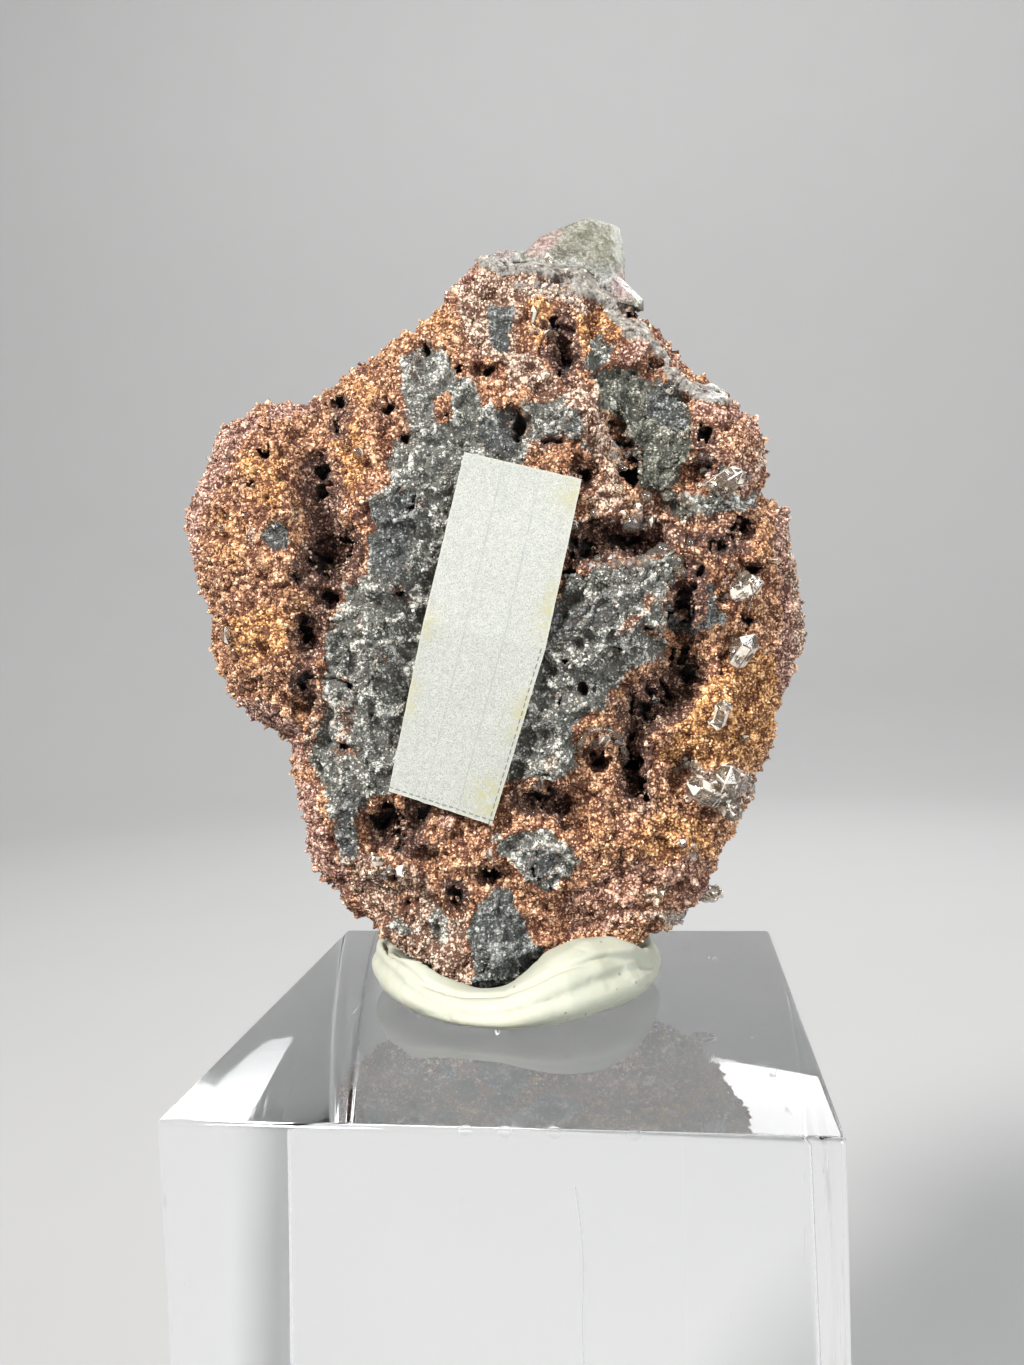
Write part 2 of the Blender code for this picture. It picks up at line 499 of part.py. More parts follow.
def seat_crystals(stone, surface, cutters, stand):
    """Join the small flat-faced crystals to the stone they grew on."""
    draw = random.Random(SEED)
    bm = bmesh.new()
    for across, up, length, width, lean_across, lean_up in SEATED_CRYSTALS:
        place, normal = surface.seen(across, up)
        axis = Vector((lean_across, SEATED_FORWARD, lean_up)) + normal * SEATED_OUTWARD
        middle = place + normal * width * SEATED_LIFT
        add_crystal(bm, middle, axis, length, width, width * SEATED_FLATNESS, draw.uniform(0, math.pi))
    crystals = new_object("seated_crystals", bm, cutters, parent=stand)
    make_cutter(crystals)
    add_boolean(stone, crystals, "UNION")
    bake_modifiers(stone)


def make_clear_crystals(surface, room, parts, material, stand):
    """Crystals that stand alone on the stone, each cut to the stone's surface."""
    for name, across, up, length, width, lean_across, lean_up, spin in CLEAR_CRYSTALS:
        place, normal = surface.seen(across, up)
        bm = bmesh.new()
        axis = Vector((lean_across, CLEAR_FORWARD, lean_up))
        middle = place + normal * (width * CLEAR_LIFT)
        add_crystal(bm, middle, axis, length, width, width * CLEAR_FLATNESS, math.radians(spin))
        crystal = new_object(name, bm, parts, material, stand)
        add_boolean(crystal, room, "DIFFERENCE")
        bake_modifiers(crystal)
        keep_largest_body(crystal)


def join_cluster(name, bodies, room, parts, cutters, material, stand):
    """Crystals grown together: joined one after another, then cut to the stone."""
    cluster = None
    for number, body in enumerate(bodies):
        if cluster is None:
            cluster = new_object(name, body, parts, material, stand)
            continue
        other = new_object(f"{name}_{number}", body, cutters, parent=stand)
        make_cutter(other)
        add_boolean(cluster, other, "UNION")
    add_boolean(cluster, room, "DIFFERENCE")
    bake_modifiers(cluster)
    keep_largest_body(cluster)


def one_hull(corners):
    bm = bmesh.new()
    add_hull(bm, corners)
    return bm


def one_crystal(middle, axis, length, width, thickness, spin):
    bm = bmesh.new()
    add_crystal(bm, middle, axis, length, width, thickness, spin)
    return bm


def make_clusters(surface, room, parts, cutters, material, stand):
    """The clear crystals grown together at the top, on the lower right and on the hidden side."""
    bodies = [one_hull(corners) for corners in (APEX_WEDGE, APEX_SHOULDER)]
    for number, (x, y, z, length, width, thickness, axis) in enumerate(APEX_BAND):
        bodies.append(one_crystal(Vector((x, y, z)), axis, length, width, thickness, number * RIND_SPIN))
    join_cluster("apex_crystals", bodies, room, parts, cutters, material, stand)
    bodies = []
    for number, (across, up, length, width, thickness, axis) in enumerate(LOWER_RIGHT_CLUSTER):
        place, normal = surface.seen(across, up)
        middle = place + normal * LOWER_RIGHT_LIFT
        bodies.append(one_crystal(middle, axis, length, width, thickness, number * CLUSTER_SPIN))
    join_cluster("lower_right_crystals", bodies, room, parts, cutters, material, stand)
    for name, crystals in BACK_CLUSTERS.items():
        bodies = []
        for number, (x, z, length, width, thickness, axis) in enumerate(crystals):
            place, normal, _, _ = surface.tree.ray_cast(Vector((x, BEHIND, z)), Vector((0, -1, 0)))
            middle = place + normal * BACK_LIFT
            bodies.append(one_crystal(middle, axis, length, width, thickness, number * CLUSTER_SPIN))
        join_cluster(name, bodies, room, parts, cutters, material, stand)


def make_label(parts, material, stand):
    """A thin strip of paper, bowed a little from top to foot to follow the ridge under it."""
    bm = bmesh.new()
    rows = []
    for row in range(LABEL_ROWS + 1):
        share = row / LABEL_ROWS * 2
        near, far = (LABEL_TOP, LABEL_MIDDLE) if share <= 1 else (LABEL_MIDDLE, LABEL_FOOT)
        depth = np.interp(share, (0, 1, 2), LABEL_DEPTHS)
        part = share if share <= 1 else share - 1
        left = Vector(near[0]).lerp(Vector(far[0]), part)
        right = Vector(near[1]).lerp(Vector(far[1]), part)
        line = [left.lerp(right, column / LABEL_COLUMNS) for column in range(LABEL_COLUMNS + 1)]
        rows.append([bm.verts.new(off_label_plane(p.x, p.y, -depth) * MM) for p in line])
    for upper, lower in zip(rows, rows[1:]):
        for column in range(LABEL_COLUMNS):
            bm.faces.new((upper[column], lower[column], lower[column + 1], upper[column + 1]))
    label = new_object("label", bm, parts, material, stand)
    sheet = label.modifiers.new("paper", "SOLIDIFY")
    sheet.thickness = LABEL_THICKNESS * MM
    sheet.offset = 1.0 if label.data.polygons[0].normal.y < 0 else -1.0
    return label


def make_collar(room, parts, cutters, material, stand):
    """Mineral tack pressed round the foot: a turned mound with an uneven rim, hollowed by the stone."""
    profile = bpy.data.meshes.new("tack_profile")
    corners = [(radius * MM, 0, height * MM) for radius, height in COLLAR_PROFILE]
    edges = [(number, number + 1) for number in range(len(corners) - 1)]
    profile.from_pydata(corners, edges, [])
    collar = bpy.data.objects.new("tack_collar", profile)
    parts.objects.link(collar)
    turned = collar.modifiers.new("turned", "SCREW")
    turned.steps = COLLAR_STEPS
    turned.render_steps = COLLAR_STEPS
    turned.use_merge_vertices = True
    turned.merge_threshold = 0.00005
    bake_modifiers(collar)

    bm = bmesh.new()
    bm.from_mesh(collar.data)
    bmesh.ops.remove_doubles(bm, verts=bm.verts, dist=0.00002)
    bmesh.ops.triangulate(bm, faces=bm.faces)
    bpy.data.objects.remove(collar)
    floor = COLLAR_PROFILE[1][1] * MM
    for vert in bm.verts:
        angle = math.atan2(vert.co.y, vert.co.x)
        turn = math.degrees(angle) % 360
        rim = np.interp(turn, *zip(*COLLAR_RIM)) * MM
        reach = np.interp(turn, *zip(*COLLAR_REACH))
        vert.co.z = floor + (vert.co.z - floor) * (rim - floor) / (COLLAR_CREST * MM - floor)
        swell = reach + sum(much * math.sin(angle * count + start) for count, much, start in COLLAR_SWELLS)
        vert.co.x = vert.co.x * swell + COLLAR_CENTRE[0] * MM
        vert.co.y = vert.co.y * swell + COLLAR_CENTRE[1] * MM
    collar = new_object("tack_collar", bm, parts, material, stand)
    add_boolean(collar, room, "DIFFERENCE")
    bake_modifiers(collar)
    keep_largest_body(collar)


def make_block(parts, material):
    bm = bmesh.new()
    bmesh.ops.create_cube(bm, size=1.0)
    bmesh.ops.scale(bm, vec=(BLOCK_SIDE, BLOCK_SIDE, BLOCK_HEIGHT), verts=bm.verts)
    bmesh.ops.translate(bm, vec=(0, 0, BLOCK_HEIGHT / 2), verts=bm.verts)
    block = new_object("clear_block", bm, parts, material)
    edges = block.modifiers.new("polished_edges", "BEVEL")
    edges.width = BLOCK_BEVEL
    edges.segments = 2
    return block


def main():
    clear_scene()
    parts = new_collection("cerussite_specimen")
    cutters = new_collection("cutters")
    rust = new_material("rust_crust", (0.30, 0.12, 0.05), 0.75)
    crystal = new_material("clear_crystal", (0.80, 0.80, 0.74), 0.08, 1.0, 1.9)
    paper = new_material("paper", (0.78, 0.79, 0.78), 0.85)
    tack = new_material("mineral_tack", (0.76, 0.77, 0.70), 0.6)
    acrylic = new_material("acrylic", (0.95, 0.96, 0.96), 0.03, 1.0, 1.49)

    stand = bpy.data.objects.new("stone_stand", None)
    parts.objects.link(stand)
    stand.location = STONE_PLACE
    stand.rotation_euler = (0, 0, STONE_TURN)

    stone = make_stone(parts, rust, stand)
    surface = Surface(stone)
    room = swollen_copy(stone, cutters, stand)
    make_clear_crystals(surface, room, parts, crystal, stand)
    make_clusters(surface, room, parts, cutters, crystal, stand)
    make_collar(room, parts, cutters, tack, stand)
    seat_crystals(stone, surface, cutters, stand)
    grow_rind(stone, cutters, stand)
    make_label(parts, paper, stand)
    make_block(parts, acrylic)


main()
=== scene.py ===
"""Looks of the cerussite specimen: a drusy stone with clear crystals and a paper label, on a clear block.

The drusy crust is grown on a fine copy of the stone, and its colour regions are laid out one by one as
outlines and soft patches. Those on the front are given in millimetres across and up on the label's plane, as
seen from in front of the stone. Relief is worked out in the stone's own frame in millimetres. Meshes are in
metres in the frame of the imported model.
"""

import math
import random

import bmesh
import bpy
import numpy as np
from mathutils import Matrix, Vector, noise
from mathutils.bvhtree import BVHTree


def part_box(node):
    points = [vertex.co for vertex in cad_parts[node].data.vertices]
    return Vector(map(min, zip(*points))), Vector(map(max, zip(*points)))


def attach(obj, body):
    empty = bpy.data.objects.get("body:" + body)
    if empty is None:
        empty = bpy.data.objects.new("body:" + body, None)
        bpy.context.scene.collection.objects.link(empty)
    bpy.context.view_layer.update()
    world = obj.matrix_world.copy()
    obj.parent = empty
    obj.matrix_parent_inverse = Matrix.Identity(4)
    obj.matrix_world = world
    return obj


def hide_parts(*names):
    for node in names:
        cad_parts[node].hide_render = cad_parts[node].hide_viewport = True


bl_info = {
    "name": "Cerussite Specimen Looks",
    "version": (1, 0, 0),
    "blender": (4, 5, 0),
    "location": "3D Viewport > Sidebar > Specimen",
    "description": "Grows the drusy crust, crystals, label, tack and clear block of a mineral specimen",
    "category": "Object",
}

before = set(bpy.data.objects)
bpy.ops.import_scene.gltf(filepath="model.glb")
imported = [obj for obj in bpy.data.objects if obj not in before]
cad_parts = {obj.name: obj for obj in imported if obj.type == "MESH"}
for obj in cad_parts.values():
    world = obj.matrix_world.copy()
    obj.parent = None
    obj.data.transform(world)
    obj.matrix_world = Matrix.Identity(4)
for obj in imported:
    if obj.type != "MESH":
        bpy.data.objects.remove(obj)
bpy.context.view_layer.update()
BODY = "root"
MM = 0.001

# The stone's own frame: where it stands on the block and how far it is turned
BLOCK_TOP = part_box("clear_block")[1].z
STONE_PLACE = Vector((-1.2 * MM, 4.6 * MM, BLOCK_TOP))
STONE_TURN = math.radians(7.7)
STONE_MATRIX = Matrix.Translation(STONE_PLACE) @ Matrix.Rotation(STONE_TURN, 4, "Z")
INTO_STONE = STONE_MATRIX.inverted()
STONE_AXES = np.array(STONE_MATRIX)[:3, :3]

# Where the front is seen from, in the stone's frame in millimetres, and how far in front the label's plane is
EYE = Vector((0.4, -63.9, 21.3))
LABEL_PLANE = 6.0

# The slope at the foot's left, which is grey and pale at once
FOOT_SLOPE = (
    (-9.4, 9.6), (-6.6, 9.6), (-4.2, 7.4), (-2.8, 5.2), (-2.4, 0.6), (-4.6, 0.8), (-6.6, 3.2), (-9.0, 6.8),
)

# Outlines of the front's colour regions, painted one over another: kind, strength, then corners across and up
FRONT_OUTLINES = (
    ("ochre", 0.8, (
        (9.2, 12.8), (13.4, 12.8), (14.8, 15.0), (15.2, 19.0), (13.8, 19.8), (12.0, 19.0), (10.6, 17.6),
        (9.4, 15.6), (8.6, 14.0),
    )),
    ("ochre", 0.4, (
        (2.6, 12.2), (4.2, 12.9), (6.0, 12.6), (7.2, 11.4), (11.0, 10.4), (11.6, 8.8), (9.6, 7.8), (6.4, 7.8),
        (4.4, 8.8), (3.2, 10.2),
    )),
    ("ochre", 0.9, (
        (1.9, 39.2), (4.4, 39.4), (6.6, 38.2), (7.0, 37.2), (5.8, 36.6), (4.6, 35.2), (3.4, 35.6),
        (2.2, 37.0),
    )),
    ("rose", 0.7, (
        (10.8, 33.6), (12.4, 34.1), (14.2, 32.8), (15.2, 31.0), (15.0, 29.0), (13.2, 28.2), (11.2, 28.8),
        (10.6, 30.6),
    )),
    ("rose", 1.0, (
        (15.0, 28.4), (18.4, 25.0), (18.4, 18.0), (15.6, 15.4), (15.0, 18.6), (15.5, 21.6), (15.0, 25.0),
    )),
    ("pale", 0.8, (
        (15.6, 27.6), (18.4, 25.0), (18.4, 18.0), (16.0, 16.4), (15.8, 18.6), (16.3, 21.6), (15.6, 25.0),
    )),
    ("rose", 0.7, (
        (-13.2, 34.0), (-14.8, 33.0), (-18.0, 29.0), (-18.6, 24.0), (-16.9, 24.0), (-16.2, 28.2),
        (-14.4, 31.2), (-12.6, 32.8),
    )),
    ("rose", 0.6, ((-12.6, 34.6), (-9.6, 34.6), (-9.8, 33.2), (-12.4, 33.0))),
    ("rose", 0.7, ((-4.4, 39.4), (-1.0, 41.8), (1.6, 42.6), (1.4, 41.3), (-0.4, 40.4), (-3.4, 38.6))),
    ("rose", 0.8, (
        (-16.2, 19.6), (-14.6, 18.2), (-12.0, 17.2), (-10.6, 15.6), (-11.4, 14.0), (-12.4, 16.0),
        (-16.0, 17.6),
    )),
    ("rose", 0.7, ((-11.6, 13.6), (-10.5, 13.2), (-10.2, 9.6), (-8.6, 7.4), (-9.2, 6.6), (-11.8, 9.4))),
    ("rose", 0.5, ((5.6, 8.2), (11.0, 8.6), (11.6, 6.4), (8.6, 4.6), (3.0, 4.4), (2.4, 6.2))),
    ("pale", 0.9, (
        (-1.9, 39.8), (0.2, 40.6), (1.0, 40.2), (4.4, 40.3), (4.4, 39.2), (2.0, 39.4), (1.2, 39.2),
        (1.4, 37.0), (0.8, 36.0), (-0.6, 36.2), (-1.6, 37.6),
    )),
    ("pale", 0.7, (
        (0.4, 36.2), (2.4, 36.8), (3.2, 35.2), (4.4, 35.6), (5.2, 34.6), (4.6, 34.0), (2.4, 33.8),
        (1.6, 34.4), (0.8, 33.6),
    )),
    ("pale", 0.75, (
        (-8.6, 8.2), (-7.0, 6.4), (-5.8, 4.4), (-4.6, 2.0), (-2.6, 1.0), (-2.6, 6.4), (-3.8, 7.2),
        (-5.4, 6.8), (-5.8, 8.0), (-6.4, 9.4), (-8.4, 9.6),
    )),
    ("pale", 0.5, (
        (5.4, 30.2), (7.2, 30.4), (9.6, 28.4), (10.6, 26.6), (9.4, 25.6), (7.0, 26.6), (5.2, 27.0),
        (4.8, 28.8),
    )),
    ("pale", 0.5, ((10.2, 27.0), (12.8, 27.4), (12.6, 25.6), (11.2, 24.8), (10.2, 25.4))),
    ("pale", 0.6, ((-10.4, 19.4), (-9.6, 18.8), (-10.2, 16.8), (-10.8, 14.8), (-11.3, 15.0), (-10.9, 17.4))),
    ("grey", 1.0, (
        (-5.0, 36.3), (-4.2, 37.0), (-3.2, 36.6), (-2.3, 36.2), (-2.0, 35.3), (-1.3, 35.1), (-0.7, 34.4),
        (-0.3, 33.6), (0.3, 33.1), (1.1, 33.0), (1.7, 32.2), (1.6, 31.0), (1.2, 30.0), (-2.0, 29.0),
        (-4.0, 21.9), (-6.0, 12.7), (-6.8, 12.2), (-7.6, 12.0), (-8.0, 11.0), (-8.4, 9.8), (-8.6, 8.8),
        (-9.4, 8.4), (-9.8, 9.4), (-9.9, 11.0), (-10.1, 12.4), (-10.6, 13.4), (-11.0, 14.6), (-10.5, 16.2),
        (-10.1, 17.6), (-10.2, 18.8), (-9.7, 19.8), (-10.2, 20.8), (-9.7, 22.2), (-9.0, 23.0), (-9.0, 24.0),
        (-8.2, 24.9), (-7.5, 25.4), (-7.3, 26.4), (-7.6, 27.6), (-7.2, 28.8), (-6.3, 29.1), (-6.0, 30.0),
        (-6.3, 31.0), (-5.7, 31.8), (-5.1, 32.4), (-5.2, 34.2),
    )),
    ("grey", 1.0, (
        (3.6, 23.9), (4.4, 24.4), (5.0, 24.9), (6.2, 24.6), (7.2, 24.6), (8.2, 25.0), (9.2, 25.3),
        (9.9, 24.9), (10.1, 24.0), (9.5, 23.2), (9.3, 22.4), (9.5, 21.6), (9.0, 21.0), (9.3, 20.4),
        (9.3, 19.6), (8.6, 19.1), (7.8, 18.9), (6.9, 18.4), (6.5, 17.5), (5.5, 16.6), (4.4, 16.2),
        (3.9, 15.4), (4.1, 14.4), (3.9, 13.4), (3.2, 12.9), (2.4, 12.4), (1.5, 12.3), (1.1, 12.9),
        (0.3, 12.9), (-0.9, 12.4), (0.0, 15.0), (1.6, 19.6),
    )),
    ("grey", 0.9, (
        (1.4, 33.4), (2.2, 33.8), (3.2, 34.2), (4.7, 34.6), (5.5, 34.1), (6.2, 32.9), (6.7, 31.8),
        (7.0, 30.9), (7.0, 30.0), (5.4, 30.4), (4.6, 31.0), (3.2, 31.4), (1.8, 31.0), (1.3, 32.0),
    )),
    ("pale", 0.75, (
        (4.2, 34.6), (5.5, 34.1), (6.4, 32.7), (7.0, 30.9), (6.8, 29.9), (5.4, 30.6), (4.8, 31.4),
        (4.9, 32.9), (3.4, 33.4),
    )),
    ("moss", 1.0, (
        (5.6, 35.0), (6.6, 35.5), (8.0, 35.2), (9.0, 34.6), (9.8, 34.4), (10.4, 33.9), (10.6, 33.0),
        (10.9, 32.0), (10.8, 30.8), (10.2, 29.8), (9.8, 28.8), (8.6, 28.0), (7.6, 28.6), (7.2, 29.4),
        (7.3, 30.6), (6.9, 31.4), (6.6, 32.4), (6.2, 33.1), (5.4, 34.2),
    )),
    ("slate", 0.8, (
        (8.0, 34.4), (9.2, 34.5), (10.2, 33.6), (10.6, 32.2), (10.0, 31.6), (9.0, 32.0), (8.4, 32.8),
    )),
    ("grey", 0.9, (
        (9.6, 28.6), (11.0, 28.4), (12.4, 28.2), (14.6, 28.3), (14.2, 27.4), (12.8, 27.2), (11.4, 27.0),
        (10.0, 26.8), (9.2, 27.6),
    )),
    ("grey", 0.9, ((5.0, 35.5), (5.2, 36.6), (6.1, 37.3), (6.8, 36.7), (6.4, 35.7), (5.7, 35.1))),
    ("slate", 0.9, (
        (-0.2, 38.3), (0.2, 38.9), (1.1, 38.8), (1.0, 37.7), (0.9, 36.8), (0.2, 36.4), (-0.3, 37.0),
    )),
    ("slate", 0.8, (
        (-7.3, 28.6), (-6.0, 28.9), (-4.6, 28.8), (-4.4, 26.6), (-5.0, 24.6), (-6.6, 24.4), (-7.4, 25.4),
        (-7.4, 27.2),
    )),
    ("slate", 0.8, ((-0.6, 32.9), (0.6, 32.9), (1.2, 32.0), (0.8, 30.6), (-0.6, 31.0), (-1.2, 31.8))),
    ("slate", 0.9, ((3.5, 32.7), (4.8, 32.8), (4.9, 31.9), (4.2, 31.5), (3.4, 31.8))),
    ("slate", 0.6, (
        (2.2, 22.6), (4.0, 23.2), (6.0, 23.4), (6.4, 22.0), (5.0, 20.8), (3.0, 20.4), (1.8, 20.6),
    )),
    ("slate", 1.0, (
        (9.6, 23.6), (10.4, 23.9), (11.7, 23.6), (12.1, 22.6), (12.0, 21.1), (11.2, 20.6), (10.2, 20.4),
        (9.4, 20.9), (9.2, 21.8), (9.3, 22.8),
    )),
    ("slate", 0.9, (
        (-1.9, 6.6), (-1.0, 7.4), (-0.2, 7.3), (0.3, 6.6), (0.7, 5.4), (1.1, 4.2), (1.9, 3.6), (1.6, 1.6),
        (-0.4, 0.6), (-2.4, 0.8), (-2.7, 2.4), (-2.9, 4.2), (-2.6, 5.6),
    )),
    ("grey", 0.6, FOOT_SLOPE),
    ("pale", 0.5, FOOT_SLOPE),
    ("grey", 0.95, (
        (0.5, 10.2), (1.6, 10.4), (2.6, 9.8), (3.6, 9.2), (4.0, 8.2), (3.4, 7.2), (2.2, 6.8), (1.6, 6.5),
        (0.8, 7.2), (0.2, 8.2), (-0.6, 8.8), (-0.6, 9.6),
    )),
    ("slate", 0.6, ((1.2, 9.6), (2.4, 9.4), (2.9, 8.4), (2.2, 7.4), (1.2, 7.6), (0.8, 8.6))),
    ("slate", 0.7, ((-9.7, 12.6), (-8.6, 12.8), (-8.4, 10.4), (-8.8, 8.8), (-9.5, 9.0), (-9.8, 10.8))),
    ("rust", 0.9, ((-3.4, 34.2), (-2.4, 34.2), (-2.2, 32.8), (-3.0, 32.6))),
    ("pale", 0.9, (
        (-0.8, 40.3), (2.2, 40.1), (4.3, 39.4), (5.9, 38.5), (5.4, 37.9), (4.4, 38.4), (3.2, 38.9),
        (1.6, 39.2), (0.4, 39.1), (-1.0, 39.6),
    )),
    ("glass", 1.0, (
        (-0.5, 40.4), (2.2, 40.2), (4.3, 39.5), (5.1, 38.9), (5.9, 38.4), (6.5, 37.8), (7.0, 37.3),
        (7.7, 36.5), (8.4, 35.95), (9.0, 35.3), (9.4, 34.5), (10.1, 33.9), (11.1, 33.3), (12.5, 33.1),
        (12.75, 33.6), (11.8, 33.9), (10.6, 34.4), (9.9, 35.3), (9.3, 36.1), (8.5, 37.0), (7.9, 37.9),
        (7.2, 38.9), (6.7, 39.8), (6.0, 40.5), (5.0, 41.2), (3.0, 42.4), (1.2, 42.4), (-0.7, 41.3),
    )),
    ("rose", 0.8, (
        (6.6, 40.3), (7.6, 40.4), (8.6, 38.8), (9.8, 37.0), (10.8, 35.4), (10.2, 34.9), (9.2, 36.5),
        (8.2, 38.0), (7.3, 39.3),
    )),
)

